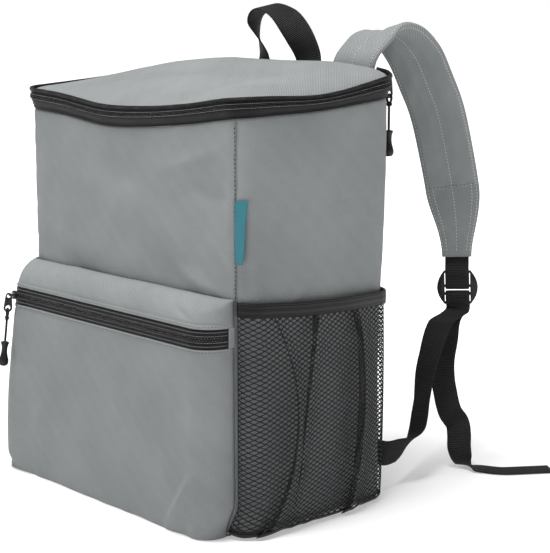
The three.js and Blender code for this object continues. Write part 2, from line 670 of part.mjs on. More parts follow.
function pocketPlan(across, depth, up) {
  const side = Math.sign(across) || 1;
  const reach = Math.abs(across);
  const flat = seamPlan.x - pocketCornerRun;
  const turned = Math.max((reach - pocketFlatShare) / (1 - pocketFlatShare), 0);
  const turn = (turned * Math.PI) / 2;
  const push = pocketDepth * readTable(pocketCornerRows, 'up', side < 0 ? 'left' : 'right', up) * arch(turned);
  const x = turned ? flat + pocketCornerRun * Math.sin(turn) : (reach * flat) / pocketFlatShare;
  const sewn = Math.max(THREE.MathUtils.smoothstep(turned, 0, 1), THREE.MathUtils.smoothstep(up, sewnFrom, 1));
  const front = frontSkin(x - pocketCloth, Math.max(up * pocketHeight, baseRadius)) - seamGap;
  const root = THREE.MathUtils.lerp(pocketRoot, front, sewn);
  return { x: side * (x + push), y: root - depth * Math.cos(turn) - 0.4 * push };
}

function pocketPoint(across, up, out = 0) {
  const depth = pocketDepth * readTable(pocketRows, 'up', 'out', up) + out;
  const { x, y } = pocketPlan(across, depth, up);
  return new THREE.Vector3(x, y, THREE.MathUtils.lerp(pocketLift, pocketHeight, up));
}

function addFrontPocket() {
  const turned = stations(pocketFlatShare, 1, 5);
  const across = [
    ...turned.map((share) => -share).reverse(),
    ...stations(-pocketFlatShare, pocketFlatShare, 10).slice(1, -1),
    ...turned,
  ];
  const gap = seamGap / pocketHeight;
  const lowerRows = [0, 0.03, 0.12, 0.24, 0.36, 0.5, 0.66, pocketZip.from - gap];
  const upperRows = [pocketZip.to + gap, 0.93, 0.96, 0.98, 0.992, 1];
  addPiece('pocket_lower_panel', wallSolid(pocketPoint, across, lowerRows, pocketCloth), greyCloth);
  addPiece('pocket_upper_panel', wallSolid(pocketPoint, across, upperRows, pocketCloth), greyCloth);
  const zipAcross = across.map((share) => share * pocketZipReach);
  const endAcross = [pocketZipReach + 0.006, 1];
  const zipPieces = {
    pocket_zip_lower_tape: [pocketZip.from, pocketZipChain.from - gap, 0, tapeThickness],
    pocket_zip_chain: [pocketZipChain.from, pocketZipChain.to, 1, chainThickness],
    pocket_zip_upper_tape: [pocketZipChain.to + gap, pocketZip.to, 0, tapeThickness],
  };
  for (const [name, [from, to, out, thickness]] of Object.entries(zipPieces)) {
    addPiece(
      name,
      wallSolid((a, b) => pocketPoint(a, b, out), zipAcross, [from, to], thickness),
      blackZip,
    );
  }
  for (const side of [-1, 1]) {
    const ends = side < 0 ? endAcross.map((share) => -share).reverse() : endAcross;
    const name = side < 0 ? 'pocket_zip_end_left' : 'pocket_zip_end_right';
    addPiece(name, wallSolid(pocketPoint, ends, [pocketZip.from, pocketZip.to], pocketCloth), greyCloth);
  }
  const inset = pocketCloth + 3 * seamGap;
  const back = -halfDepth + baseRadius * 0.3; // up to the front panel where that turns under
  const outline = across.map((share) => {
    const at = pocketPoint(share * 0.98, 0).addScaledVector(facingAt(pocketPoint, share * 0.98, 0.02), -inset);
    return new THREE.Vector2(at.x, at.y);
  });
  const backReach = seamPlan.x - 2 * inset;
  outline.unshift(new THREE.Vector2(-backReach, back));
  outline.push(new THREE.Vector2(backReach, back));
  addPiece(
    'pocket_base',
    new THREE.ExtrudeGeometry(new THREE.Shape(outline), { depth: pocketCloth, bevelEnabled: false }),
    greyCloth,
  );
}

// A net side pocket: the net, cut through in diamonds, and the binding on its top edge
const netFrom = frontSeamAt + 2;
const netTo = backSeamAt - 2;
const netBottom = 2;
function netPoint(side, across, up, out = 0) {
  const along = THREE.MathUtils.lerp(netFrom, netTo, across);
  const top = bodyHeight * readTable(netRowsAcross, 'across', 'top', across) - netBindingHeight;
  const z = THREE.MathUtils.lerp(netBottom, top, up);
  const belly = netBelly * arch(across) ** 0.7 * arch(up * 0.85 + 0.06) ** 0.5;
  const gathered = (0.35 + 0.65 * up) * (1 - 0.85 * THREE.MathUtils.smoothstep(up, 0.84, 1));
  const fold = netFold * readTable(netRowsAcross, 'across', 'fold', across) * gathered;
  const turnUnder = z < baseRadius ? baseRadius - Math.sqrt(baseRadius ** 2 - (baseRadius - z) ** 2) : 0;
  const push = netStandOff + netThickness + Math.max(belly + fold * arch(across), 0);
  return skinPoint(side * along, z, push - turnUnder + out);
}

function addNetPocket(side, name) {
  const surface = (a, b) => netPoint(side, side > 0 ? a : 1 - a, b);
  const height = bodyHeight * netRowsAcross[0].top - netBindingHeight - netBottom;
  const hem = netHem / height;
  const cornerTo = frontFlat + quarterArc;
  const cornerBack = cornerTo + sideFlat;
  const placesAlong = [
    netFrom,
    netFrom + netSelvage / 2,
    ...stations(netFrom + netSelvage, cornerTo, 1),
    ...stations(cornerTo, cornerBack, netFaceColumns).slice(1),
    ...stations(cornerBack, backArcEnd, 4).slice(1),
    netTo,
  ];
  const across = placesAlong.map((along) => (along - netFrom) / (netTo - netFrom));
  if (side < 0) across.reverse().forEach((share, i) => { across[i] = 1 - share; });
  const up = [0, ...stations(hem, 1 - hem / 2, netRows), 1];
  const isHoleColumn = (i) => {
    const column = side > 0 ? i : across.length - 2 - i;
    return column >= 2 && column <= netFaceColumns + 3;
  };
  const holes = (i, j) => (isHoleColumn(i) && j > 0 && j <= netRows ? netHoleShare : 0);
  addPiece(`net_${name}`, wallSolid(surface, across, up, netThickness, holes), blackNet);

  const bindingTop = (a, b) => {
    const along = side * THREE.MathUtils.lerp(netFrom, netTo, side > 0 ? a : 1 - a);
    const { outX, outY } = planPoint(along);
    const edge = surface(a, 1);
    const push = (netBindingThickness - netThickness) / 2;
    return new THREE.Vector3(edge.x + outX * push, edge.y + outY * push, edge.z + 2 * seamGap + b * netBindingHeight);
  };
  addPiece(
    `net_binding_${name}`,
    wallSolid(bindingTop, across, [0, 1], netBindingThickness),
    blackWebbing,
  );
}

// Where a row of a route table is, for a strap of the given thickness
function routePoint(row, thickness) {
  const up = THREE.MathUtils.clamp(row.up, 0, 1);
  const face = leaned(halfDepth + bodyDepth * readTable(puffRows, 'up', 'back', up), up * bodyHeight);
  const z = thickness / 2 + row.up * bodyHeight;
  return new THREE.Vector3(row.x * halfWidth, face + sewnGap + thickness / 2 + row.back * bodyDepth, z);
}
const routeStations = (rows, thickness) =>
  rows.map((row) => ({
    at: routePoint(row, thickness),
    across: new THREE.Vector3(row.wx, row.wy, row.wz).normalize(),
  }));

// A flat strap along stations, width and thickness as given by functions of the share of its length
function strapSolid(route, steps, widthAt, thickness) {
  const line = new THREE.CatmullRomCurve3(route.map((station) => station.at), false, 'centripetal');
  const last = route.length - 1;
  const points = [];
  const faces = [];
  const rings = [];
  for (let i = 0; i <= steps; i += 1) {
    const t = i / steps;
    const middle = line.getPoint(t);
    const ahead = line.getTangent(t);
    const place = Math.min(Math.floor(t * last), last - 1);
    const across = route[place].across.clone().lerp(route[place + 1].across, t * last - place);
    across.addScaledVector(ahead, -across.dot(ahead)).normalize();
    const out = new THREE.Vector3().crossVectors(ahead, across).normalize();
    const half = widthAt(t) / 2;
    const ring = [
      [-half, -thickness / 2],
      [half, -thickness / 2],
      [half, thickness / 2],
      [-half, thickness / 2],
    ];
    rings.push(points.length);
    ring.forEach(([a, b]) => points.push(middle.clone().addScaledVector(across, a).addScaledVector(out, b)));
  }
  const size = 4;
  for (let i = 0; i < steps; i += 1) {
    for (let n = 0; n < size; n += 1) {
      const [a, b] = [rings[i] + n, rings[i] + ((n + 1) % size)];
      const [c, d] = [rings[i + 1] + ((n + 1) % size), rings[i + 1] + n];
      faces.push(a, b, c, a, c, d);
    }
  }
  const end = rings[steps];
  faces.push(0, 3, 2, 0, 2, 1, end, end + 1, end + 2, end, end + 2, end + 3);
  return geometryOf(points, faces);
}

// The adjuster's own frame: down the strap, across it, and out from the body
function adjusterFrame(route) {
  const line = new THREE.CatmullRomCurve3(route.map((station) => station.at), false, 'centripetal');
  const down = line.getTangent(1);
  const across = route[route.length - 1].across.clone();
  across.addScaledVector(down, -across.dot(down)).normalize();
  const out = new THREE.Vector3().crossVectors(across, down).normalize();
  if (out.y < 0) out.negate();
  const centre = line.getPoint(1).addScaledVector(down, adjusterHeight / 2 + adjusterDrop);
  return { down, across, out, centre, end: line.getPoint(1) };
}

const adjusterPlace = (frame, down, out) => ({
  at: frame.centre.clone().addScaledVector(frame.down, down).addScaledVector(frame.out, out),
  across: frame.across.clone(),
});

function adjusterGeometry() {
  const half = adjusterHeight / 2;
  const side = adjusterWidth / 2;
  const outline = new THREE.Shape();
  outline.moveTo(-side + 3, -half);
  outline.lineTo(side - 3, -half);
  outline.quadraticCurveTo(side + adjusterEar * 2, 0, side - 3, half);
  outline.lineTo(-side + 3, half);
  outline.quadraticCurveTo(-side - adjusterEar * 2, 0, -side + 3, -half);
  const slotHalf = webbingWidth / 2 + 1;
  const slot = (low, high) => {
    const hole = new THREE.Path();
    hole.moveTo(-slotHalf, low);
    hole.lineTo(slotHalf, low);
    hole.lineTo(slotHalf, high);
    hole.lineTo(-slotHalf, high);
    hole.closePath();
    return hole;
  };
  const bars = [-half + adjusterBar / 2, upperBarAt, lowerBarAt, half - adjusterBar / 2];
  bars.slice(1).forEach((bar, i) => outline.holes.push(slot(bars[i] + adjusterBar / 2, bar - adjusterBar / 2)));
  const plate = new THREE.ExtrudeGeometry(outline, { depth: adjusterPlate, bevelEnabled: false, curveSegments: 8 });
  plate.translate(0, 0, -adjusterPlate / 2);
  const rails = [-1, 1].map((sign) => {
    const rail = new THREE.Shape();
    rail.moveTo(sign * (slotHalf + 1), -half * 0.72);
    rail.quadraticCurveTo(sign * (side + adjusterEar * 1.9), 0, sign * (slotHalf + 1), half * 0.72);
    rail.closePath();
    const geometry = new THREE.ExtrudeGeometry(rail, { depth: adjusterRail, bevelEnabled: false, curveSegments: 8 });
    geometry.translate(0, 0, -adjusterRail / 2);
    return geometry;
  });
  return joined([plate, ...rails]);
}

// A half turn of webbing round a bar, from the body's side to the outer side
function halfTurn(frame, barAt, direction) {
  return [0, 45, 90, 135, 180].map((degrees) => {
    const angle = THREE.MathUtils.degToRad(degrees);
    return adjusterPlace(frame, barAt + direction * webbingTurn * Math.sin(angle), -webbingTurn * Math.cos(angle));
  });
}

function addStrap(side) {
  const pad = routeStations(padRoutes[side], strapThickness);
  const taperFrom = 0.8;
  const padWidth = (t) => {
    const taper = THREE.MathUtils.smoothstep(t, taperFrom, 1);
    return THREE.MathUtils.lerp(strapWidth, strapEndWidth, taper);
  };
  addPiece(`shoulder_strap_${side}`, strapSolid(pad, 40, padWidth, strapThickness), greyCloth);

  const frame = adjusterFrame(pad);
  const adjuster = addPiece(`strap_adjuster_${side}`, adjusterGeometry(), blackPlastic);
  adjuster.applyMatrix4(
    new THREE.Matrix4()
      .makeBasis(frame.across, frame.down, new THREE.Vector3().crossVectors(frame.across, frame.down))
      .setPosition(frame.centre),
  );

  // The upper webbing is sewn to the pad's outer face, and goes round the adjuster's upper bar
  const lie = strapThickness / 2 + sewnGap + webbingThickness / 2;
  const padEnd = -adjusterHeight / 2 - adjusterDrop;
  const upperRoute = [
    adjusterPlace(frame, padEnd - 16, lie),
    adjusterPlace(frame, padEnd - 8, lie),
    adjusterPlace(frame, padEnd, lie),
    adjusterPlace(frame, padEnd + 6, lie * 0.3),
    adjusterPlace(frame, padEnd + 12, -webbingTurn),
    adjusterPlace(frame, upperBarAt - 6, -webbingTurn),
    ...halfTurn(frame, upperBarAt, 1),
    adjusterPlace(frame, upperBarAt - 6, webbingTurn),
    adjusterPlace(frame, upperBarAt - 14, webbingTurn + 0.3),
  ];
  addPiece(
    `strap_upper_webbing_${side}`,
    strapSolid(upperRoute, 36, () => webbingWidth, webbingThickness),
    blackWebbing,
  );

  // The lower webbing comes up on the body's side, goes round the middle bar, and hangs free outside
  const below = adjusterHeight / 2;
  const lowerRoute = [
    ...routeStations(loadRoutes[side], webbingThickness),
    adjusterPlace(frame, below + 5, -webbingTurn - 0.6),
    adjusterPlace(frame, below - 4, -webbingTurn),
    ...halfTurn(frame, lowerBarAt, -1),
    adjusterPlace(frame, below - 4, webbingTurn),
    adjusterPlace(frame, below + 5, webbingTurn + 0.6),
    ...routeStations(tailRoutes[side], webbingThickness),
  ];
  addPiece(
    `strap_lower_webbing_${side}`,
    strapSolid(lowerRoute, 96, () => webbingWidth, webbingThickness),
    blackWebbing,
  );
}

function addHandle() {
  const route = routeStations(handleRoute, handleThickness);
  addPiece('top_handle', strapSolid(route, 40, () => handleWidth, handleThickness), blackWebbing);
}

// The plain woven label: a small tab sewn into the right front seam
const labelTop = 0.775; // share of bodyHeight
function addLabel() {
  const root = skinPoint(frontSeamAt, labelTop * bodyHeight, 0.6);
  const turnAt = (down) => THREE.MathUtils.degToRad(THREE.MathUtils.lerp(22, -22, down));
  const surface = (reach, up) => {
    const angle = turnAt(1 - up);
    const length = labelReach * reach;
    return new THREE.Vector3(
      root.x + length * Math.cos(angle),
      root.y + length * Math.sin(angle) - 0.8,
      root.z - (1 - up) * labelLength,
    );
  };
  addPiece('side_label', wallSolid(surface, [0, 0.5, 1], stations(0, 1, 5), labelThickness), tealLabel);
}

// A zip slider with its pull hanging from it: a tab on the slider's bridge, a cord looped through
// the tab, and a grip on the cord. place is a point of the chain, facing the way it looks out, and
// swing how far the pull hangs out from straight down.
function addPull(name, place, facing, swing) {
  const out = facing.clone().setZ(0).normalize();
  const up = new THREE.Vector3(0, 0, 1);
  const along = new THREE.Vector3().crossVectors(up, out);
  const frame = new THREE.Matrix4().makeBasis(along, up, out).setPosition(place);
  const put = (piece, geometry, look) => addPiece(`${name}_${piece}`, geometry.applyMatrix4(frame), look);
  const hung = (geometry) => geometry.translate(0, 0, -hang).rotateX(-swing).translate(0, 0, hang);
  const disc = (x, y, radius) => new THREE.Path().absarc(x, y, radius, 0, Math.PI * 2, true);
  const point = (x, y, z) => new THREE.Vector3(x, y, z);

  const plateShape = new THREE.Shape();
  plateShape.absellipse(0, 0, sliderLength / 2, sliderWidth / 2, 0, Math.PI * 2);
  const plate = new THREE.ExtrudeGeometry(plateShape, {
    depth: sliderThickness,
    bevelEnabled: false,
    curveSegments: 6,
  });
  plate.translate(0, 0, seamGap);
  const face = sliderThickness + seamGap;
  const hang = face + bridgeReach;
  const bridgeLine = new THREE.CatmullRomCurve3([
    point(-bridgeSpan / 2, 0, face - 1),
    point(-bridgeSpan / 2, 0, face + bridgeReach * 0.6),
    point(0, 0, face + bridgeReach),
    point(bridgeSpan / 2, 0, face + bridgeReach * 0.6),
    point(bridgeSpan / 2, 0, face - 1),
  ]);
  put('slider', joined([plate, cappedTube(bridgeLine, 8, bridgeWire / 2)]), blackMetal);

  const lowerEyeAt = -(pullerLength - eyeRim - cordEyeRim);
  const tab = new THREE.Shape();
  tab.absarc(0, 0, eyeRim, 0.1, Math.PI - 0.1);
  tab.absarc(0, lowerEyeAt, cordEyeRim, Math.PI + 0.1, Math.PI * 2 - 0.1);
  tab.holes.push(disc(0, 0, eyeRadius), disc(0, lowerEyeAt, cordEyeRadius));
  const tabGeometry = new THREE.ExtrudeGeometry(tab, {
    depth: pullerThickness,
    bevelEnabled: false,
    curveSegments: 5,
  });
  const sag = eyeRadius - bridgeWire / 2 - seamGap;
  tabGeometry.translate(0, 0, -pullerThickness / 2).rotateY(Math.PI / 2).translate(0, -sag, hang);
  put('puller', hung(tabGeometry), blackMetal);

  const cordRadius = pullCordDiameter / 2;
  const loopTop = lowerEyeAt - sag - (cordEyeRadius - cordRadius - seamGap);
  const loopLine = new THREE.CatmullRomCurve3(
    [
      point(0, loopTop, hang),
      point(2.6, loopTop - 1.6, hang),
      point(2.6, loopTop - 5.4, hang),
      point(0, loopTop - 8.4, hang),
      point(-2.6, loopTop - 5.4, hang),
      point(-2.6, loopTop - 1.6, hang),
    ],
    true,
  );
  const loop = new THREE.TubeGeometry(loopLine, 16, cordRadius, 6, true);
  const knotAt = loopTop - 9.4;
  const knot = new THREE.SphereGeometry(3.1, 8, 5).scale(1.1, 1, 0.9).translate(0, knotAt, hang);
  const strandEnd = knotAt - pullCordLength;
  const strand = new THREE.CylinderGeometry(cordRadius, cordRadius, pullCordLength, 6);
  strand.translate(0, (knotAt + strandEnd) / 2, hang);
  put('pull_cord', hung(joined([loop, knot, strand])), blackWebbing);

  const gripTop = strandEnd + gripSocket;
  const profile = gripRows.map((row) => new THREE.Vector2((row.width * gripDiameter) / 2, -row.down * gripLength));
  const bore = cordRadius + seamGap;
  profile.push(new THREE.Vector2(bore, 0), new THREE.Vector2(bore, -gripSocket - seamGap));
  profile.push(new THREE.Vector2(0, -gripSocket - seamGap));
  const grip = new THREE.LatheGeometry(profile, 10);
  put('grip', hung(grip.translate(0, gripTop, hang)), blackPlastic);
}

// A tube along an open curve with both ends closed
function cappedTube(line, steps, radius) {
  const ring = new THREE.Shape().absarc(0, 0, radius, 0, Math.PI * 2);
  return new THREE.ExtrudeGeometry(ring, { steps, extrudePath: line, curveSegments: 3 });
}

// The way a surface faces round a place, from its own points
function facingAt(surface, a, b) {
  const step = 0.01;
  const acrossWay = surface(a + step, b).sub(surface(a - step, b));
  return acrossWay.cross(surface(a, b + step).sub(surface(a, b - step))).normalize();
}

addBody();
addLid();
addFrontPocket();
addNetPocket(1, 'right');
addNetPocket(-1, 'left');
addHandle();
addStrap('right');
addStrap('left');
addLabel();
const chainMiddle = (part) => (part.from + part.to) / 2;
const lidChain = (along, share) => bandPoint(along, share, bandParts.lid_zip_chain.out);
addPull(
  'lid',
  lidChain(lidSliderAt, chainMiddle(bandParts.lid_zip_chain)),
  facingAt(lidChain, lidSliderAt, chainMiddle(bandParts.lid_zip_chain)),
  0,
);
const pocketChain = (across, up) => pocketPoint(across, up, 1);
addPull(
  'pocket',
  pocketChain(pocketSliderAt, chainMiddle(pocketZipChain)),
  facingAt(pocketChain, pocketSliderAt, chainMiddle(pocketZipChain)),
  pocketPullSwing,
);

export default backpack;
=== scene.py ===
import bisect
import functools
import math

import bmesh
import bpy
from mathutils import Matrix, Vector, noise


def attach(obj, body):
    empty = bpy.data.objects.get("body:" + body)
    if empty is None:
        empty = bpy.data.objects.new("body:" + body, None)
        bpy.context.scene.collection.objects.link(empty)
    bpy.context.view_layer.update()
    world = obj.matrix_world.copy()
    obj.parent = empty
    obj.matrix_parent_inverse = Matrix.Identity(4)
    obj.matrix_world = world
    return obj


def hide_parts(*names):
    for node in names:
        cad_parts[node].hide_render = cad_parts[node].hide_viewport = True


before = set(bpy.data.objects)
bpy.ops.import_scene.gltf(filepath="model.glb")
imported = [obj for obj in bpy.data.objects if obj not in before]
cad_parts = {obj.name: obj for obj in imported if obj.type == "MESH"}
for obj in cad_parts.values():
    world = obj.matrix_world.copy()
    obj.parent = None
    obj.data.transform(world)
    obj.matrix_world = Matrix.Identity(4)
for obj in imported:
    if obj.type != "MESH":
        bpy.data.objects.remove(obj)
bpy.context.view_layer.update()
print("frame loaded")

# camera, at the photograph's angle

camera = {"place": (1.114, -0.926, 0.472), "azimuth": 47.4, "elevation": 10.2, "lens": 95.37, "sensor": 36,
          "sees": 50}
cameraData = bpy.data.cameras.new("camera")
cameraData.lens = camera["lens"]
cameraData.sensor_width = camera["sensor"]
cameraData.clip_end = camera["sees"]
cameraObject = bpy.data.objects.new("camera", cameraData)
cameraObject.location = camera["place"]
cameraObject.rotation_euler = (math.radians(90 - camera["elevation"]), 0, math.radians(camera["azimuth"]))
bpy.context.scene.collection.objects.link(cameraObject)
bpy.context.scene.camera = cameraObject

# finishes


class Flow:
    # one shader socket; sums on it add Math nodes
    def __init__(self, tree, socket):
        self.tree, self.socket = tree, socket

    def maths(self, operation, other=None, flip=False):
        node = self.tree.nodes.new("ShaderNodeMath")
        node.operation = operation
        for slot, value in zip(node.inputs, (other, self) if flip else (self, other)):
            if value is not None:
                feed(self.tree, slot, value)
        return Flow(self.tree, node.outputs[0])

    def __add__(self, other):
        return self.maths("ADD", other)

    def __sub__(self, other):
        return self.maths("SUBTRACT", other)

    def __mul__(self, other):
        return self.maths("MULTIPLY", other)

    def __rsub__(self, other):
        return self.maths("SUBTRACT", other, True)

    __radd__, __rmul__ = __add__, __mul__

    def sine(self):
        return self.maths("SINE")

    def within(self, low, high):
        return self.maths("MAXIMUM", low).maths("MINIMUM", high)


def feed(tree, slot, value):
    if isinstance(value, Flow):
        tree.links.new(value.socket, slot)
    else:
        slot.default_value = value


class Wiring:
    # makes the nodes of one node tree
    def __init__(self, tree):
        self.tree = tree

    def node(self, kind, settings, inputs, output=0):
        made = self.tree.nodes.new("ShaderNode" + kind)
        for key, value in settings.items():
            if key == "stops":
                ramp = made.color_ramp.elements
                ramp[0].position, ramp[0].color = value[0]
                ramp[1].position, ramp[1].color = value[-1]
                for position, colour in value[1:-1]:
                    ramp.new(position).color = colour
            else:
                setattr(made, key, value)
        for key, value in inputs.items():
            feed(self.tree, made.inputs[key], value)
        return Flow(self.tree, made.outputs[output])


class Finish(Wiring):
    def __init__(self, name, **shader):
        self.material = bpy.data.materials.new(name)
        self.material.use_nodes = True
        super().__init__(self.material.node_tree)
        self.shader = self.tree.nodes["Principled BSDF"]
        for socket, value in shader.items():
            self.set(socket, value)

    def set(self, socket, value):
        feed(self.tree, self.shader.inputs[socket.replace("_", " ")], value)

    def cloth(self):  # metres along the cloth, from the piece's own UV map
        place = self.node("UVMap", {"uv_map": "Cloth"}, {})
        u, v = (self.node("SeparateXYZ", {}, {0: place}, axis) for axis in (0, 1))
        return u, v, place

    def inSpace(self):
        return self.node("TexCoord", {}, {}, "Object")

    def clouds(self, place, scale, detail=2.0, rough=0.5):
        return self.node("TexNoise", {}, {
            "Vector": place, "Scale": scale, "Detail": detail, "Roughness": rough})

    def blend(self, amount, first, second):
        return self.node("Mix", {"data_type": "RGBA"}, {0: amount, 6: first, 7: second}, 2)

    def bump(self, height, distance, strength=1.0):
        return self.node("Bump", {}, {"Height": height, "Distance": distance, "Strength": strength})


def grey(value, tint=(1, 1, 1)):
    return (*(value * share for share in tint), 1)


def wavesIn(length):  # radians for each metre of a pattern that repeats at that length
    return 2 * math.pi / length


def clothFinish(name, look):
    # coated twill: broken diagonal ribs over a fine thread grid, slightly uneven in tone
    finish = Finish(name, Specular_IOR_Level=look["gloss"], Sheen_Weight=look["sheen"],
                    Sheen_Roughness=look["sheenRoughness"])
    u, v, place = finish.cloth()
    waver = finish.clouds(place, look["waverScale"], 2) * look["waver"]
    ribs = ((u + v * look["slope"]) * wavesIn(look["rib"]) + waver).sine()
    threads = (u * wavesIn(look["thread"])).sine() * (v * wavesIn(look["thread"])).sine()
    weave = ribs * 0.6 + threads * 0.4
    cloud = finish.clouds(place, look["cloudScale"], 3)
    tone = (weave * look["contrast"] + (cloud - 0.5) * look["unevenness"] + 0.5).within(0, 1)
    dark, light = grey(look["dark"], look["tint"]), grey(look["light"], look["tint"])
    finish.set("Base Color", finish.blend(tone, dark, light))
    finish.set("Roughness", (cloud - 0.5) * 0.16 - weave * 0.05 + look["roughness"])
    fuzz = finish.clouds(place, look["fuzzScale"], 2)
    finish.set("Normal", finish.bump(weave * 0.5 + fuzz * 0.35, look["relief"], 0.8))
    return finish.material


def webbingFinish(name, look):
    # woven tape: ribs across it, each broken into a herringbone of short floats
    finish = Finish(name, Specular_IOR_Level=look["gloss"])
    u, v, place = finish.cloth()
    ribs = (v * wavesIn(look["rib"])).sine()
    floats = ((u + v * 0.5) * wavesIn(look["float"])).sine()
    weave = ribs * 0.7 + floats * 0.3
    tone = (weave * 0.5 + 0.5) * (finish.clouds(place, 60, 2) * 0.6 + 0.7)
    tint = look.get("tint", (1, 1, 1.05))
    dark, light = grey(look["dark"], tint), grey(look["light"], tint)
    finish.set("Base Color", finish.blend(tone.within(0, 1), dark, light))
    finish.set("Roughness", weave * -0.08 + look["roughness"])
    finish.set("Normal", finish.bump(weave, look["relief"], 0.9))
    return finish.material


def hardFinish(name, look):
    # moulded plastic or lacquered metal: fine grain, faint handling marks
    finish = Finish(name, Metallic=look["metal"], Specular_IOR_Level=look["gloss"])
    place = finish.inSpace()
    grain = finish.clouds(place, look["grain"], 3)
    marks = finish.clouds(place, 160, 4, 0.7)
    finish.set("Base Color", finish.blend(marks, grey(look["dark"]), grey(look["light"])))
    finish.set("Roughness", (marks - 0.5) * 0.3 + (grain - 0.5) * 0.1 + look["roughness"])
    finish.set("Normal", finish.bump(grain, look["relief"], 0.5))
    return finish.material


def yarnFinish(name, colour, roughness, twist=900):
    finish = Finish(name, Roughness=roughness, Specular_IOR_Level=0.15)
    fluff = finish.clouds(finish.inSpace(), twist, 3, 0.6)
    shade = (*(c * 0.62 for c in colour), 1)
    finish.set("Base Color", finish.blend(fluff, shade, (*colour, 1)))
    finish.set("Normal", finish.bump(fluff, 0.00015, 0.7))
    return finish.material


greyCloth = clothFinish("grey twill", {
    "rib": 0.0021, "thread": 0.0011, "slope": 1.0, "waver": 3, "waverScale": 220, "contrast": 0.85,
    "unevenness": 1.0, "cloudScale": 14, "fuzzScale": 900, "dark": 0.165, "light": 0.305,
    "tint": (0.945, 1.0, 1.005), "roughness": 0.75, "gloss": 0.25, "sheen": 0.06, "sheenRoughness": 0.45,
    "relief": 0.0003})
blackWebbing = webbingFinish("black webbing", {
    "rib": 0.0017, "float": 0.0021, "roughness": 0.6, "gloss": 0.16, "dark": 0.004, "light": 0.026,
    "relief": 0.00025})
blackTape = webbingFinish("black zip tape", {
    "rib": 0.0009, "float": 0.0011, "roughness": 0.5, "gloss": 0.2, "dark": 0.002, "light": 0.01,
    "relief": 0.0001})
blackBinding = webbingFinish("black grosgrain", {
    "rib": 0.0014, "float": 0.005, "roughness": 0.4, "gloss": 0.2, "dark": 0.002, "light": 0.012,
    "relief": 0.0002})
tealTape = webbingFinish("teal woven tape", {
    "rib": 0.0009, "float": 0.0011, "roughness": 0.55, "gloss": 0.3, "dark": 0.15, "light": 0.25,
    "tint": (0.13, 0.8, 1.0), "relief": 0.0001})
blackCoil = hardFinish("black nylon coil", {
    "roughness": 0.25, "metal": 0.0, "gloss": 0.5, "grain": 900, "dark": 0.003, "light": 0.01,
    "relief": 0.00003})
blackPlastic = hardFinish("black moulded plastic", {
    "roughness": 0.4, "metal": 0.0, "gloss": 0.3, "grain": 1400, "dark": 0.004, "light": 0.01,
    "relief": 0.00004})
blackLacquer = hardFinish("black lacquered metal", {
    "roughness": 0.3, "metal": 0.6, "gloss": 0.4, "grain": 700, "dark": 0.012, "light": 0.03,
    "relief": 0.00003})
blackYarn = yarnFinish("black net yarn", (0.02, 0.02, 0.022), 0.7)
blackCord = yarnFinish("black braided cord", (0.02, 0.02, 0.022), 0.65, 500)
greyThread = yarnFinish("grey thread", (0.8, 0.81, 0.8), 0.6)
darkThread = yarnFinish("dark thread", (0.035, 0.037, 0.039), 0.7)
# pale grey yarn laid along the zip coils as a painted highlight
paintedHighlightYarn = yarnFinish("painted highlight yarn", (0.3, 0.3, 0.305), 0.3)
print("finishes made")

# the body's measures, in metres and shares, as the solids have them

body = {"width": 0.334, "depth": 0.186, "height": 0.4, "corner": 0.02, "base": 0.009, "wall": 0.005,
        "seamTurn": math.radians(25), "backWrap": 0.01, "gap": 0.00045, "lid": 0.006}
tables = {
    "rim": [  # way round from the front's middle, top seam, lid edge
        (-3, .988, 1.063), (-2.43, .988, 1.063), (-2.1, .985, 1.047), (-2, .982, 1.038), (-1.5, .962, 1.012),
        (-1, .944, .994), (-.62, .934, .984), (-.18, .917, .965), (.25, .924, .968), (.6, .938, .98),
        (1, .957, 1), (1.5, .965, 1), (2, .985, 1.038), (2.1, .987, 1.047), (2.43, .988, 1.063),
        (3, .988, 1.063)],
    "puff": [  # up, how far the front, side and back stand out in their middles
        (0, 0, 0, 0), (.12, .008, .01, .006), (.35, .012, .02, .01), (.6, .016, .026, .012),
        (.85, .012, .012, .008), (1, .004, .002, 0)],
    "lean": [(0, 0), (.5, .004), (.65, .017), (.8, .028), (1, .038)],
    "pocket": [  # up the pocket, how far out
        (0, .8), (.03, .87), (.12, .93), (.35, .99), (.6, 1.01), (.8, 1), (.885, .95), (.93, .86), (.97, .66),
        (.992, .38), (1, .075)],
    "pocketCorner": [  # up the pocket, its left and right corners
        (0, .86, .05), (.3, .74, .05), (.6, .48, .04), (.8, .28, .04), (.92, .2, .03), (1, .1, .02)],
    "netTop": [  # along the net, its height
        (0, .551), (.14, .546), (.28, .54), (.4, .537), (.52, .534), (.66, .531), (.79, .528), (.9, .525),
        (1, .524)],
}
halfWidth, halfDepth = body["width"] / 2, body["depth"] / 2
quarterArc = body["corner"] * math.pi / 2
frontFlat = halfWidth - body["corner"]
sideFlat = body["depth"] - 2 * body["corner"]
frontCornerAt = frontFlat + quarterArc / 2
backCornerAt = frontCornerAt + quarterArc + sideFlat
backMiddleAt = backCornerAt + quarterArc / 2 + frontFlat
frontSeamAt = frontFlat + body["corner"] * body["seamTurn"]
backArcEnd = frontFlat + quarterArc + sideFlat + quarterArc
backSeamAt = backArcEnd + body["backWrap"]


def lerp(a, b, t):
    return a + (b - a) * t


def clamp(x, low=0.0, high=1.0):
    return min(max(x, low), high)


def ease(x, low, high):
    t = clamp((x - low) / (high - low))
    return t * t * (3 - 2 * t)


def bell(x, width):
    return math.exp(-(x / width) ** 2)


def arch(share):
    return math.sin(math.pi * clamp(share))


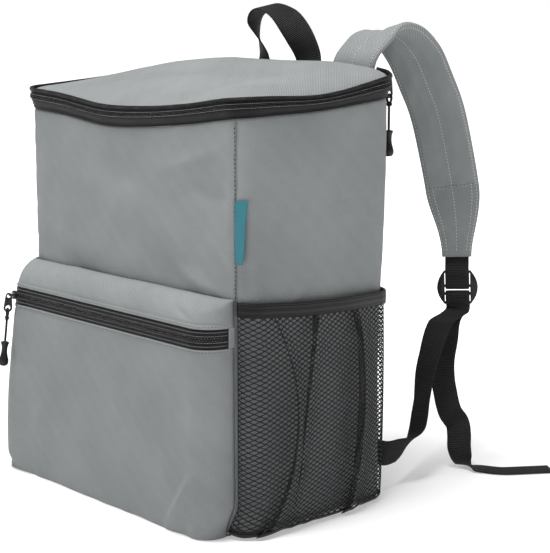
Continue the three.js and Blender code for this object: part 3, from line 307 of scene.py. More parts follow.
@functools.lru_cache(None)
def read(table, column, place):
    rows = tables[table]
    last = len(rows) - 1
    i = next((n for n, row in enumerate(rows) if row[0] > place), last) - 1
    i = min(max(i, 0), last - 1)
    before, start, end, after = (rows[min(max(n, 0), last)] for n in (i - 1, i, i + 1, i + 2))
    span = end[0] - start[0]
    t = clamp((place - start[0]) / span)
    slopeStart = (end[column] - before[column]) / (end[0] - before[0]) * span
    slopeEnd = (after[column] - start[column]) / (after[0] - start[0]) * span
    return ((2 * t**3 - 3 * t**2 + 1) * start[column] + (t**3 - 2 * t**2 + t) * slopeStart
            + (3 * t**2 - 2 * t**3) * end[column] + (t**3 - t**2) * slopeEnd)


@functools.lru_cache(None)
def planPoint(along, inset=0.0):
    side = -1 if along < 0 else 1
    reach, corner = abs(along), body["corner"]
    radius = corner - inset
    if reach < frontFlat:
        x, y, turn = reach, -halfDepth + inset, 0
    elif reach < frontFlat + quarterArc:
        turn = (reach - frontFlat) / corner
        x, y = frontFlat + radius * math.sin(turn), -halfDepth + corner - radius * math.cos(turn)
    elif reach < frontFlat + quarterArc + sideFlat:
        x, turn = halfWidth - inset, math.pi / 2
        y = -halfDepth + corner + (reach - frontFlat - quarterArc)
    elif reach < backArcEnd:
        turn = math.pi / 2 + (reach - frontFlat - quarterArc - sideFlat) / corner
        x, y = frontFlat + radius * math.sin(turn), halfDepth - corner - radius * math.cos(turn)
    else:
        x, y, turn = frontFlat - (reach - backArcEnd), halfDepth - inset, math.pi
    return side * x, y, side * math.sin(turn), -math.cos(turn)


@functools.lru_cache(None)
def wayRound(along):
    side, reach = (-1 if along < 0 else 1), abs(along)
    if reach < frontCornerAt:
        return side * reach / frontCornerAt
    if reach < backCornerAt:
        return side * (1 + (reach - frontCornerAt) / (backCornerAt - frontCornerAt))
    return side * (2 + (reach - backCornerAt) / (backMiddleAt - backCornerAt))


def seamHeight(along):
    return body["height"] * read("rim", 1, wayRound(along))


def edgeHeight(along):
    return body["height"] * read("rim", 2, wayRound(along))


def puff(along, z):
    way = abs(wayRound(along))
    face, middle, reach = (1, 0, 1) if way < 1 else (2, 1.5, 0.5) if way < 2 else (3, 3, 1)
    share = math.cos(min(abs(way - middle) / reach, 1) * math.pi / 2)
    return body["depth"] * read("puff", face, clamp(z / body["height"])) * max(share, 0) ** 0.8


def leaned(y, z):
    return y + read("lean", 1, clamp(z / body["height"])) * (y + halfDepth)


def skin(along, z, out=0.0):
    x, y, outX, outY = planPoint(along)
    push = puff(along, z) + out
    return Vector((x + outX * push, leaned(y + outY * push, z), z))


# ways of making cloth


def addPiece(name, data, material, replaced=()):
    data.materials.append(material)
    piece = bpy.data.objects.new(name, data)
    bpy.context.scene.collection.objects.link(piece)
    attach(piece, "root")
    if replaced:
        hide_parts(*replaced)
    return piece


def addObject(name, bm, material, replaced=()):
    data = bpy.data.meshes.new(name)
    bm.to_mesh(data)
    bm.free()
    data.shade_smooth()
    return addPiece(name, data, material, replaced)


def addCloth(name, bm, thickness, offset=-1):
    return thicken(addObject(name + "_cloth", bm, greyCloth, [name]), thickness, offset)


def ruffle(u, v, seed, size):
    # soft unevenness of hand-sewn cloth: a broad swell and a finer one
    broad = noise.noise(Vector((u * 11, v * 9, seed)))
    fine = noise.noise(Vector((u * 45, v * 38, seed + 7)))
    return size * (broad + 0.3 * fine)


def dents(rows, u, v):
    # each row: from u, v, to u, v, half width, depth; a fold or crease along that line
    total = 0
    for u0, v0, u1, v1, width, depth in rows:
        du, dv = u1 - u0, v1 - v0
        length2 = du * du + dv * dv
        t = ((u - u0) * du + (v - v0) * dv) / length2
        tc = clamp(t)
        away = math.hypot(u - u0 - tc * du, v - v0 - tc * dv)
        if away < 3 * width:
            total += depth * bell(away, width) * (0.35 + 0.65 * arch(tc))
    return total


def sheetMesh(surface, across, up, cells, relief=None, uvOf=None):
    bm = bmesh.new()
    uv = bm.loops.layers.uv.new("Cloth")
    bmesh.ops.create_grid(bm, x_segments=cells[0], y_segments=cells[1], size=1)
    bm.verts.ensure_lookup_table()
    place = [(lerp(*across, (v.co.x + 1) / 2), lerp(*up, (v.co.y + 1) / 2)) for v in bm.verts]
    for face in bm.faces:
        for loop in face.loops:
            a, b = place[loop.vert.index]
            loop[uv].uv = uvOf(a, b) if uvOf else (a, b)
    for v, (a, b) in zip(bm.verts, place):
        v.co = surface(a, b)
    if relief:
        bm.normal_update()
        pushes = [v.normal * relief(a, b) for v, (a, b) in zip(bm.verts, place)]
        for v, push in zip(bm.verts, pushes):
            v.co += push
    return bm


def thicken(piece, thickness, offset=-1):  # inward, or outward with an offset of 1
    solid = piece.modifiers.new("thickness", "SOLIDIFY")
    solid.thickness, solid.offset = thickness, offset
    return piece


def walk(line):
    # the length of a line of points, and the share of its points passed at a length along it
    reach = [0.0]
    for before, after in zip(line, line[1:]):
        reach.append(reach[-1] + (after - before).length)
    last = len(line) - 1

    def shareAt(wanted):
        n = clamp(bisect.bisect_left(reach, wanted) - 1, 0, last - 1)
        return clamp((n + (wanted - reach[n]) / max(reach[n + 1] - reach[n], 1e-9)) / last)
    return reach[-1], shareAt


def rowOf(shape, pitch, number):
    # copies of a shape along x, doubled until there are enough
    bm = bmesh.new()
    bm.loops.layers.uv.new("Cloth")
    shape(bm)
    each, made = len(bm.faces), 1
    while made < number:
        more = min(made, number - made)
        copied = bmesh.ops.duplicate(bm, geom=bm.faces[:more * each])["geom"]
        moved = [part for part in copied if isinstance(part, bmesh.types.BMVert)]
        bmesh.ops.translate(bm, vec=(made * pitch, 0, 0), verts=moved)
        made += more
    return bm


def threadLength(length, width, height):
    def shape(bm):
        bmesh.ops.create_icosphere(bm, subdivisions=1, radius=1)
        bmesh.ops.scale(bm, vec=(length / 2, width / 2, height / 2), verts=bm.verts)
        bmesh.ops.translate(bm, vec=(length * 0.6, 0, height * 0.2), verts=bm.verts)
    return shape


stitch = {"samples": 240, "height": 0.8, "look": 0.004, "seam": 0.0038, "cloth": 0.003, "strap": 0.0034,
          "zip": 0.0018}


def addStitches(name, lines, pitch, thread, share, width):
    # lines: each a surface and the places on it where a row of stitches starts and ends
    whole = bmesh.new()
    whole.loops.layers.uv.new("Cloth")
    for surface, start, end in lines:
        count = stitch["samples"]
        length, shareAt = walk([surface(lerp(start[0], end[0], i / count), lerp(start[1], end[1], i / count))
                                for i in range(count + 1)])
        number = max(int(length / pitch), 1)
        step = length / number
        bm = rowOf(threadLength(step * share, width, width * stitch["height"]), step, number)
        da, db = (end[0] - start[0]) * stitch["look"], (end[1] - start[1]) * stitch["look"]
        frames = {}
        for v in bm.verts:
            key = round(v.co.x / (step / 3))
            if key not in frames:
                wanted = key * step / 3
                t = shareAt(wanted)
                a, b = lerp(start[0], end[0], t), lerp(start[1], end[1], t)
                run = (surface(a + da, b + db) - surface(a - da, b - db)).normalized()
                side = surface(a - db * 0.3, b + da * 0.3) - surface(a + db * 0.3, b - da * 0.3)
                out = run.cross(side).normalized()
                frames[key] = (surface(a, b), run, out, out.cross(run), wanted)
            at, run, out, across, wanted = frames[key]
            v.co = at + run * (v.co.x - wanted) + across * v.co.y + out * v.co.z
        scratch = bpy.data.meshes.new("row")
        bm.to_mesh(scratch)
        bm.free()
        whole.from_mesh(scratch)
        bpy.data.meshes.remove(scratch)
    bmesh.ops.recalc_face_normals(whole, faces=whole.faces)
    return addObject(name, whole, thread)


# body walls: padded panels, tucked in along their seams

panel = {"curl": 0.06, "tuck": 0.0022, "tuckWidth": 0.0035, "swell": 0.0017, "dent": 1.5, "pucker": 0.00035,
         "puckerRun": 0.0062, "topTuck": 0.0012, "topWidth": 0.004, "thinner": 0.0006, "loose": 0.02,
         "frontDents": [  # along, z, to along, z, half width, depth
             (-0.147, 0.36, -0.135, 0.25, 0.012, 0.0012), (-0.125, 0.37, -0.118, 0.27, 0.009, -0.0009),
             (-0.06, 0.365, 0.03, 0.345, 0.014, -0.0016), (0.06, 0.36, 0.135, 0.372, 0.007, 0.0012),
             (0.10, 0.34, 0.15, 0.325, 0.008, -0.0012), (0.13, 0.30, 0.15, 0.26, 0.009, 0.0012),
             (0.02, 0.29, 0.09, 0.245, 0.016, -0.0014), (0.085, 0.262, 0.15, 0.232, 0.007, 0.0016),
             (-0.14, 0.262, -0.05, 0.238, 0.012, -0.0012), (0.12, 0.245, 0.152, 0.228, 0.004, -0.0016)],
         "sideDents": [
             (0.176, 0.37, 0.181, 0.225, 0.006, -0.0014), (0.166, 0.36, 0.167, 0.24, 0.005, 0.0008),
             (0.185, 0.375, 0.205, 0.352, 0.007, 0.001), (0.20, 0.30, 0.26, 0.25, 0.02, -0.0018),
             (0.245, 0.36, 0.29, 0.31, 0.018, 0.0012), (0.215, 0.23, 0.23, 0.25, 0.006, 0.0012),
             (0.30, 0.37, 0.315, 0.22, 0.01, -0.0012)]}
curl = panel["curl"]


def wallPoint(along, up):
    if up < curl:
        turn = max(up, 0) / curl * math.pi / 2
        return skin(along, body["base"] * (1 - math.cos(turn)), -body["base"] * (1 - math.sin(turn)))
    behind = abs(along) > backSeamAt
    top = edgeHeight(along) - body["lid"] - 3 * body["gap"] if behind else seamHeight(along)
    return skin(along, lerp(body["base"], top - body["gap"], (up - curl) / (1 - curl)))


def wallRelief(edges, rows, seed):
    def relief(along, up):
        z = up * body["height"]
        away = min(abs(along - edge) for edge in edges)
        tuck = -panel["tuck"] * math.exp(-away / panel["tuckWidth"]) * ease(up, 0, 0.03)
        waver = 3 * noise.noise(Vector((z * 60, along, seed)))
        pucker = panel["pucker"] * math.sin(z / panel["puckerRun"] + waver) * bell(away - 0.003, 0.006)
        top = -panel["topTuck"] * math.exp(-(1 - up) * body["height"] / panel["topWidth"])
        loose = ease(away, 0, panel["loose"]) * ease(up, 0.02, 0.12)
        reach = abs(along) if rows is panel["sideDents"] else along
        roll = 0.0008 * bell(away - 0.007, 0.004)
        folds = ruffle(along, z, seed, panel["swell"]) + panel["dent"] * dents(rows, reach, z)
        return tuck + roll + pucker + top + loose * folds
    return relief


def addWall(name, start, end, cells, rows, seed, edges):
    bm = sheetMesh(wallPoint, (start, end), (0, 1), cells, wallRelief(edges, rows, seed),
                   lambda a, b: (a, b * body["height"]))
    addCloth(name, bm, body["wall"] - panel["thinner"])


seams = (-frontSeamAt, frontSeamAt)
addWall("front_panel", -frontSeamAt, frontSeamAt, (120, 144), panel["frontDents"], 1.0, seams)
addWall("side_panel_right", frontSeamAt, backSeamAt, (80, 140), panel["sideDents"], 2.0,
        (frontSeamAt, backSeamAt))
addWall("side_panel_left", -backSeamAt, -frontSeamAt, (80, 140), panel["sideDents"], 3.0,
        (-frontSeamAt, -backSeamAt))
backHalf = backMiddleAt - backSeamAt


def backAlong(a):  # the back's own way across, from its right seam (-1) to its left (1)
    reach = backMiddleAt - abs(a) * backHalf
    return reach if a < 0 else -reach


def backRelief(a, up):
    away = (1 - abs(a)) * backHalf
    z = up * body["height"]
    tuck = -panel["tuck"] * math.exp(-away / panel["tuckWidth"])
    loose = ease(away, 0, panel["loose"]) * ease(up, 0.02, 0.1)
    return tuck + loose * ruffle(a * backHalf, z, 4.0, panel["swell"])


backMesh = sheetMesh(lambda a, b: wallPoint(backAlong(a), b), (-1, 1), (0, 1), (80, 104), backRelief,
                     lambda a, b: (a * backHalf, b * body["height"]))
addCloth("back_panel", backMesh, body["wall"] - panel["thinner"])
print("walls made")


# base, a flat padded panel

base = {"inset": 0.0099, "lift": 0.0002, "thickness": 0.0046}


def squareWay(s, t):
    # a point of a square's rim (-1 to 1) to the way along the body's outline
    if t <= -abs(s):
        return lerp(0, frontCornerAt, s / max(-t, 1e-9))
    if t >= abs(s):
        side = -1 if s < 0 else 1
        return side * lerp(backMiddleAt, backCornerAt, abs(s) / t)
    middle, reach = (frontCornerAt + backCornerAt) / 2, (backCornerAt - frontCornerAt) / 2
    return (1 if s > 0 else -1) * (middle + reach * t / abs(s))


def basePoint(s, t):
    ring = max(abs(s), abs(t), 1e-9)
    x, y, _, _ = planPoint(squareWay(s, t), base["inset"])
    return Vector((x * ring, y * ring, base["lift"]))


baseMesh = sheetMesh(basePoint, (-1, 1), (-1, 1), (60, 40), None,
                     lambda a, b: (a * halfWidth, b * halfDepth))
addCloth("base_panel", baseMesh, base["thickness"], 1)


# lid: a domed padded top and the zip band under its edge

lid = {"dome": 0.005, "overhang": 0.003, "inset": -0.0002, "ringPower": 4, "tuck": 0.002, "swell": 0.0016,
       "steps": 420, "lowTape": (0.0, 0.47), "chain": (0.49, 0.70), "core": (0.45, 0.73),
       "highTape": (0.70, 0.84), "binding": (0.84, 1.05),
       "dents": [  # x, y, to x, y, half width, depth
           (-0.14, -0.05, -0.02, -0.075, 0.016, -0.0022), (-0.12, 0.02, -0.05, 0.07, 0.02, 0.0024),
           (0.02, -0.07, 0.12, -0.05, 0.012, 0.0015), (0.05, 0.0, 0.13, 0.04, 0.018, -0.0018),
           (-0.06, -0.03, 0.05, 0.01, 0.02, 0.0016)]}
zipEndAt = backSeamAt - 0.002


def bandPoint(along, share, out=0.0):
    z = lerp(seamHeight(along), edgeHeight(along), share)
    return skin(along, z, out + lid["overhang"] * ease(share, 0, 0.6))


def lidPoint(s, t):
    ring = max(abs(s), abs(t), 1e-9)
    along = squareWay(s, t)
    x, y, outX, outY = planPoint(along, lid["inset"])
    push = puff(along, body["height"]) * ring
    x, y = (x + outX * push) * ring, (y + outY * push) * ring
    back = clamp((y + halfDepth) / body["depth"])
    front = body["height"] * read("rim", 2, clamp(x / halfWidth, -1, 1))
    slope = lerp(front, edgeHeight(backMiddleAt), back ** 0.9)
    z = lerp(slope, edgeHeight(along), ring ** lid["ringPower"]) + lid["dome"] * (1 - ring ** 2.5)
    return Vector((x, leaned(y, body["height"]), z))


def lidRelief(s, t):
    ring = max(abs(s), abs(t))
    x, y = s * halfWidth, t * halfDepth
    tuck = -lid["tuck"] * math.exp(-(1 - ring) * halfDepth / 0.003)
    return tuck + ease(1 - ring, 0, 0.15) * (ruffle(x, y, 9.0, lid["swell"]) + dents(lid["dents"], x, y))


lidMesh = sheetMesh(lidPoint, (-1, 1), (-1, 1), (130, 84), lidRelief,
                    lambda a, b: (a * halfWidth, b * halfDepth))
addCloth("lid_panel", lidMesh, body["lid"])


def closedTube(bm):
    # welds the tube's long edge, caps its ends and turns its faces outward
    bmesh.ops.remove_doubles(bm, verts=bm.verts, dist=1e-7)
    bmesh.ops.holes_fill(bm, edges=[e for e in bm.edges if e.is_boundary], sides=0)
    bmesh.ops.recalc_face_normals(bm, faces=bm.faces)
    return bm


def sweptBand(name, surface, span, steps, section, material, replaced, relief=None):
    # a closed section of (share, out) pairs taken along a surface
    count = len(section)

    def point(a, b):
        share, out = section[round(b * count) % count]
        return surface(a, share, out + (relief(a, share) if relief else 0))

    bm = sheetMesh(point, span, (0, 1), (steps, count), None, lambda a, b: (a, round(b * count) * 0.0016))
    return addObject(name, closedTube(bm), material, replaced)


def roundedSection(low, high, inner, outer, count=10, power=0.5):
    # a lozenge-round section between two shares and two depths
    middle, half = (low + high) / 2, (high - low) / 2
    depth, reach = (inner + outer) / 2, (outer - inner) / 2
    section = []
    for n in range(count):
        angle = 2 * math.pi * n / count
        c, s = math.cos(angle), math.sin(angle)
        section.append((middle + half * math.copysign(abs(c) ** power, c),
                        depth + reach * math.copysign(abs(s) ** power, s)))
    return section


band = (-zipEndAt, zipEndAt)


def bandWaver(a, pitch, looseness, seed):
    return 0.0003 * math.sin(a / pitch + looseness * noise.noise(Vector(seed)))


def tapeFolds(a, share):
    # two folds run along the lower tape, one of them wavering
    waver = bandWaver(a, 0.008, 2, (a * 30, 1, 2)) * arch(share / lid["lowTape"][1])
    folds = bell(share - 0.15 - 0.02 * math.sin(a / 0.05), 0.025) + bell(share - 0.33, 0.022)
    return waver - 0.0007 * folds


sweptBand("lid_zip_lower_tape_cloth", bandPoint, band, lid["steps"],
          roundedSection(*lid["lowTape"], -0.0016, 0.0006, 28), blackTape,
          ["lid_zip_lower_tape"], tapeFolds)
sweptBand("lid_zip_upper_tape_cloth", bandPoint, band, lid["steps"],
          roundedSection(*lid["highTape"], -0.0014, 0.0002, 8), blackTape,
          ["lid_zip_upper_tape"])
sweptBand("lid_binding_cloth", bandPoint, band, lid["steps"],
          roundedSection(*lid["binding"], -0.0016, 0.0018, 14, 0.8), blackBinding,
          ["lid_binding"], lambda a, share: bandWaver(a, 0.004, 3, (a * 40, 5, 2)))

coil = {"pitch": 0.0015, "length": 0.4, "width": 0.44, "height": 0.0008, "row": 0.46, "lean": 0.2}


def zipChain(name, surface, span, chain, out, scale, replaced):
    # two rows of coil turns; each turn is a rounded bar that leans across its row
    middle, reach = sum(chain) / 2, (chain[1] - chain[0]) / 2
    length = (span[1] - span[0]) / scale
    number = int(length / coil["pitch"])
    pitch = length / number

    def bars(bm):
        for row, shift in ((-1, 0.0), (1, pitch / 2)):
            made = bmesh.ops.create_icosphere(bm, subdivisions=1, radius=1)["verts"]
            bmesh.ops.scale(bm, vec=(pitch * coil["length"], coil["width"], coil["height"]), verts=made)
            bmesh.ops.translate(bm, vec=(pitch * 0.25 + shift, row * coil["row"], 0), verts=made)
            for v in made:
                v.co.x += v.co.y * row * pitch * coil["lean"]

    bm = rowOf(bars, pitch, number)
    for v in bm.verts:
        v.co = surface(round(span[0] + v.co.x * scale, 5), middle + v.co.y * reach, out + v.co.z)
    bmesh.ops.recalc_face_normals(bm, faces=bm.faces)
    return addObject(name, bm, blackCoil, replaced)


zipChain("lid_zip_coils", bandPoint, band, lid["chain"], 0.0006, 1.0, ["lid_zip_chain"])
sweptBand("lid_zip_core", bandPoint, band, lid["steps"], roundedSection(*lid["core"], -0.0016, -0.0002, 8),
          blackTape, [])
print("lid made")


# front pocket

pocket = {"height": 0.223, "lift": 0.0003, "depth": 0.03, "cloth": 0.002, "cornerRun": 0.026, "flat": 0.84,
          "sewnFrom": 0.93, "zip": (0.806, 0.884), "chain": (0.835, 0.857), "core": (0.831, 0.861),
          "reach": 0.975, "steps": 200, "clear": 0.002, "thickness": 0.0012, "tuck": 0.0012, "swell": 0.0016,
          "cornerCloth": 0.044, "rollCloth": 0.044, "footTuck": 0.011, "footTuckUp": 0.16,
          "root": -(halfDepth + body["depth"] * 0.016 + body["gap"]),
          "dents": [  # share across, z, to share across, z, half width, depth
              (-0.9, 0.02, -0.55, 0.1, 0.012, 0.0018), (-0.2, 0.13, 0.35, 0.06, 0.03, -0.0026),
              (0.87, 0.062, 0.6, 0.004, 0.0045, 0.0028), (0.92, 0.045, 0.74, 0.004, 0.011, -0.0024),
              (0.7, 0.17, 0.8, 0.1, 0.012, -0.0012), (-0.75, 0.16, -0.7, 0.04, 0.02, 0.002),
              (-0.95, 0.014, -0.87, 0.0, 0.005, -0.0035)],
          "topDents": [(0.68, 0.213, 0.84, 0.204, 0.003, -0.0018), (-0.5, 0.214, 0.1, 0.2, 0.01, 0.0012)]}
seamX = planPoint(frontSeamAt)[0]


def frontSkin(reach, z):
    beyond = clamp((reach - frontFlat) / body["corner"])
    return skin(frontFlat + body["corner"] * math.asin(beyond) if beyond > 0 else reach, z).y


def pocketPoint(across, up, out=0.0):
    side, reach = (-1 if across < 0 else 1), abs(across)
    depth = pocket["depth"] * read("pocket", 1, clamp(up)) + out
    flat = seamX - pocket["cornerRun"]
    turned = max((reach - pocket["flat"]) / (1 - pocket["flat"]), 0)
    turn = turned * math.pi / 2
    push = pocket["depth"] * read("pocketCorner", 1 if side < 0 else 2, clamp(up)) * arch(turned)
    x = flat + pocket["cornerRun"] * math.sin(turn) if turned else reach * flat / pocket["flat"]
    if side > 0:
        x -= pocket["footTuck"] * ease(reach, 0.7, 1) * (1 - ease(up, 0, pocket["footTuckUp"]))
    sewn = max(ease(turned, 0, 1), ease(up, pocket["sewnFrom"], 1))
    front = frontSkin(round(x - pocket["cloth"], 5), max(up * pocket["height"], body["base"])) - body["gap"]
    root = lerp(pocket["root"], front, sewn)
    y = root - depth * math.cos(turn) - 0.4 * push
    return Vector((side * (x + push), y, lerp(pocket["lift"], pocket["height"], up)))


def pocketFlat(across, up):
    # the place on the flat cloth, whose corners and top roll are longer than they look from the front
    zipTop = pocket["zip"][1]
    reach, roll = abs(across), max(up - zipTop, 0) / (1 - zipTop)
    turned = max((reach - pocket["flat"]) / (1 - pocket["flat"]), 0)
    flat = min(reach / pocket["flat"], 1) * (seamX - pocket["cornerRun"]) + turned * pocket["cornerCloth"]
    return math.copysign(flat, across), min(up, zipTop) * pocket["height"] + roll * pocket["rollCloth"]


def pocketRelief(rows, seed):
    spans = [(a * seamX, b, c * seamX, d, width, depth) for a, b, c, d, width, depth in rows]

    def relief(across, up):
        z, u = up * pocket["height"], across * seamX
        ends = (1 - abs(across)) * seamX
        tuck = -pocket["tuck"] * math.exp(-ends / 0.003)
        zipAway = min(abs(z - share * pocket["height"]) for share in pocket["zip"])
        fold = 0.0006 * bell(zipAway - 0.0015, 0.0016) - 0.0004 * bell(zipAway - 0.0045, 0.0012)
        waver = 2.5 * noise.noise(Vector((u * 25, 3, seed)))
        hem = 0.0005 * math.sin(u / 0.011 + waver) * math.exp(-z / 0.012)
        loose = ease(ends, 0, 0.02) * ease(zipAway, 0, 0.012)
        return tuck + fold + hem + loose * (ruffle(u, z, seed, pocket["swell"]) + dents(spans, u, z))
    return relief


def addPocketPanel(name, low, high, cells, rows, seed, flat):
    bm = sheetMesh(pocketPoint, (-1, 1), (low, high), cells, pocketRelief(rows, seed), pocketFlat)
    addCloth(name, bm, pocket["thickness"])


zipLow, zipHigh = pocket["zip"]
addPocketPanel("pocket_lower_panel", 0, zipLow - pocket["clear"], (160, 92), pocket["dents"], 11.0,
               (0.36, zipLow * pocket["height"]))
addPocketPanel("pocket_upper_panel", zipHigh + pocket["clear"], 1, (160, 34), pocket["topDents"], 12.0,
               (0.36, 0.045))
pocketSpan = (-pocket["reach"], pocket["reach"])
for name, low, high in (("lower", zipLow, pocket["chain"][0]), ("upper", pocket["chain"][1], zipHigh)):
    sweptBand(f"pocket_zip_{name}_tape_cloth", pocketPoint, pocketSpan, pocket["steps"],
              roundedSection(low, high, -0.0014, 0.0001, 8), blackTape,
              [f"pocket_zip_{name}_tape"])
sweptBand("pocket_zip_core", pocketPoint, pocketSpan, pocket["steps"],
          roundedSection(*pocket["core"], -0.0016, 0.0001, 8), blackTape, [])
zipChain("pocket_zip_coils", pocketPoint, pocketSpan, pocket["chain"], 0.0008, 1 / 0.155,
         ["pocket_zip_chain"])
for side, name in ((-1, "left"), (1, "right")):
    ends = sorted((side * (pocket["reach"] + pocket["clear"]), side * 1.0))
    bm = sheetMesh(pocketPoint, ends, (zipLow - pocket["clear"], zipHigh + pocket["clear"]), (10, 10), None,
                   pocketFlat)
    addCloth(f"pocket_zip_end_{name}", bm, 0.0014)


def pocketBasePoint(s, t):
    # s across, t from the front panel out to the pocket's own wall
    edge = pocketPoint(s * 0.98, 0.0)
    back = Vector((s * (seamX - 0.008), -halfDepth + 0.003, 0))
    flat = back.lerp(edge, 0.985 * t)
    return Vector((flat.x * 0.985, flat.y + 0.002 * t, 0.0004))


baseCloth = sheetMesh(pocketBasePoint, (-1, 1), (0, 1), (60, 8), None, lambda a, b: (a * seamX, b * 0.03))
bmesh.ops.reverse_faces(baseCloth, faces=baseCloth.faces)
addCloth("pocket_base", baseCloth, pocket["thickness"], 1)
print("pocket made")


# net side pockets: knitted net with flat upright pleats, gathered into an elastic binding

net = {"from": frontSeamAt + 0.002, "to": backSeamAt - 0.002, "bottom": 0.0022, "binding": 0.012,
       "standOff": 0.0018, "belly": 0.011, "columns": 33, "rows": 43, "strand": 0.00043, "thickness": 0.0006,
       "flatHeight": 0.2, "rounding": 0.0008,
       "pleats": [  # middle and half width in metres at the top, half way up and at the foot, then height
           (0.030, 0.054, 0.026, 0.0018, 0.0032, 0.0062, 0.0036),
           (0.078, 0.062, 0.055, 0.0055, 0.0034, 0.0002, 0.0034),
           (0.130, 0.136, 0.124, 0.0060, 0.0090, 0.0070, 0.0042)]}
netSpan = net["to"] - net["from"]


def throughThree(top, middle, foot, up):
    return top * up * (2 * up - 1) + middle * 4 * up * (1 - up) + foot * (1 - up) * (1 - 2 * up)


@functools.lru_cache(None)
def netPleats(up):
    # where each pleat turns back and forward again along the flat net, and the flat net's width there
    made, extra = [], 0.0
    for row in net["pleats"]:
        middle, half = throughThree(*row[:3], up), max(throughThree(*row[3:6], up), 0)
        turn = middle + half + extra
        made.append((turn, turn + 2 * half, half, row[6]))
        extra += 4 * half
    return made, netSpan + extra


def softly(x, width=0.0012):
    return (x + math.sqrt(x * x + width * width)) / 2


def netTop(across):
    return body["height"] * read("netTop", 1, round(across, 4)) - net["binding"]


def netBelly(across, up):
    return net["belly"] * arch(across) ** 0.7 * arch(up) ** 0.5 * (1 - 0.7 * ease(across, 0.55, 1))


def netPoint(side, share, up, out=0.0):
    pleats, flat = netPleats(round(up, 4))
    q = share * flat
    along, lift = q, 0.0
    for back, forward, half, height in pleats:
        along += 2 * softly(q - forward) - 2 * softly(q - back)
        fall = ease(q, forward + 1.5 * half, forward + 4 * half + 0.004)
        lift += height * ease(q, back - half, forward + half) * (1 - fall) * clamp(half / 0.002)
    across = clamp(along / netSpan)
    gathered = 1 - 0.7 * ease(up, 0.85, 1)
    wave = 0.0008 * (1 + math.sin(across * 46 + 2 * math.sin(across * 19))) * (1 - ease(up, 0, 0.06))
    z = lerp(net["bottom"], netTop(across), up) + wave
    swing = across * 31 + 5 * noise.noise(Vector((across * 3, up * 2, 4)))
    ripple = 0.0006 * math.sin(swing) * arch(up) * arch(across)
    radius = body["base"]
    under = radius - math.sqrt(max(radius**2 - (radius - z)**2, 0)) if z < radius else 0
    push = net["standOff"] + netBelly(across, up * 0.85 + 0.06) + ripple + lift * gathered
    low = 1 - ease(z, 0, pocket["footTuckUp"] * pocket["height"])
    tuck = pocket["footTuck"] * low * (1 - ease(across, 0, 0.25))
    along = round(side * (net["from"] + across * netSpan - tuck), 6)
    return skin(along, round(z, 6), push - under + out)


def addNet(side, name):
    width, height = netPleats(0.5)[1], net["flatHeight"]
    bm = bmesh.new()
    bm.loops.layers.uv.new("Cloth")
    bmesh.ops.create_grid(bm, x_segments=net["columns"], y_segments=net["rows"], size=1)
    bmesh.ops.scale(bm, vec=(width / 2, height / 2, 1), verts=bm.verts)
    squares = [edge for edge in bm.edges if not edge.is_boundary]
    bmesh.ops.poke(bm, faces=bm.faces)  # then only the diagonals are kept
    bmesh.ops.dissolve_edges(bm, edges=squares, use_verts=False)
    holes = bm.faces[:]
    bmesh.ops.inset_individual(bm, faces=holes, thickness=net["strand"], use_even_offset=True)
    for hole in holes:
        hole.material_index = 1
    corners = list({v for hole in holes for v in hole.verts})
    bmesh.ops.bevel(bm, geom=corners, offset=net["rounding"], offset_type="OFFSET", segments=1, profile=0.5,
                    affect="VERTICES", material=-1, clamp_overlap=True)
    cutOut = [face for face in bm.faces if face.material_index == 1 and len(face.verts) > 3]
    bmesh.ops.delete(bm, geom=cutOut, context="FACES_ONLY")
    for face in bm.faces:
        face.material_index = 0
    for v in bm.verts:
        v.co = netPoint(side, round(v.co.x / width + 0.5, 5), round(clamp(v.co.y / height + 0.5), 4))
    if side < 0:
        bmesh.ops.reverse_faces(bm, faces=bm.faces)
    area = sum(face.calc_area() for face in bm.faces)
    piece = addObject(f"net_{name}_mesh", bm, blackYarn, [f"net_{name}"])
    thicken(piece, net["thickness"], 0)


def netEdge(side):
    def surface(a, share, out=0.0):
        across = a if side > 0 else 1 - a
        along = round(side * lerp(net["from"], net["to"], across), 6)
        proud = net["standOff"] + netBelly(across, 0.91) + 0.0012
        return skin(along, round(netTop(across), 6), proud + out) + Vector((0, 0, share))
    return surface


def hemPoint(side):
    def surface(a, share, out=0.0):
        return netPoint(side, a if side > 0 else 1 - a, share, out)
    return surface


for side, name in ((1, "right"), (-1, "left")):
    addNet(side, name)
    sweptBand(f"net_binding_{name}_cloth", netEdge(side), (0, 1), 150,
                       roundedSection(-0.001, 0.0125, -0.0013, 0.0013, 14, 0.45), blackBinding,
                       [f"net_binding_{name}"])
    sweptBand(f"net_hem_{name}", hemPoint(side), (0, 1), 200,
              roundedSection(-0.004, 0.022, -0.0008, 0.0009, 8, 0.6), blackBinding, [])
print("nets made")


# straps and webbing, along the routes of the solids

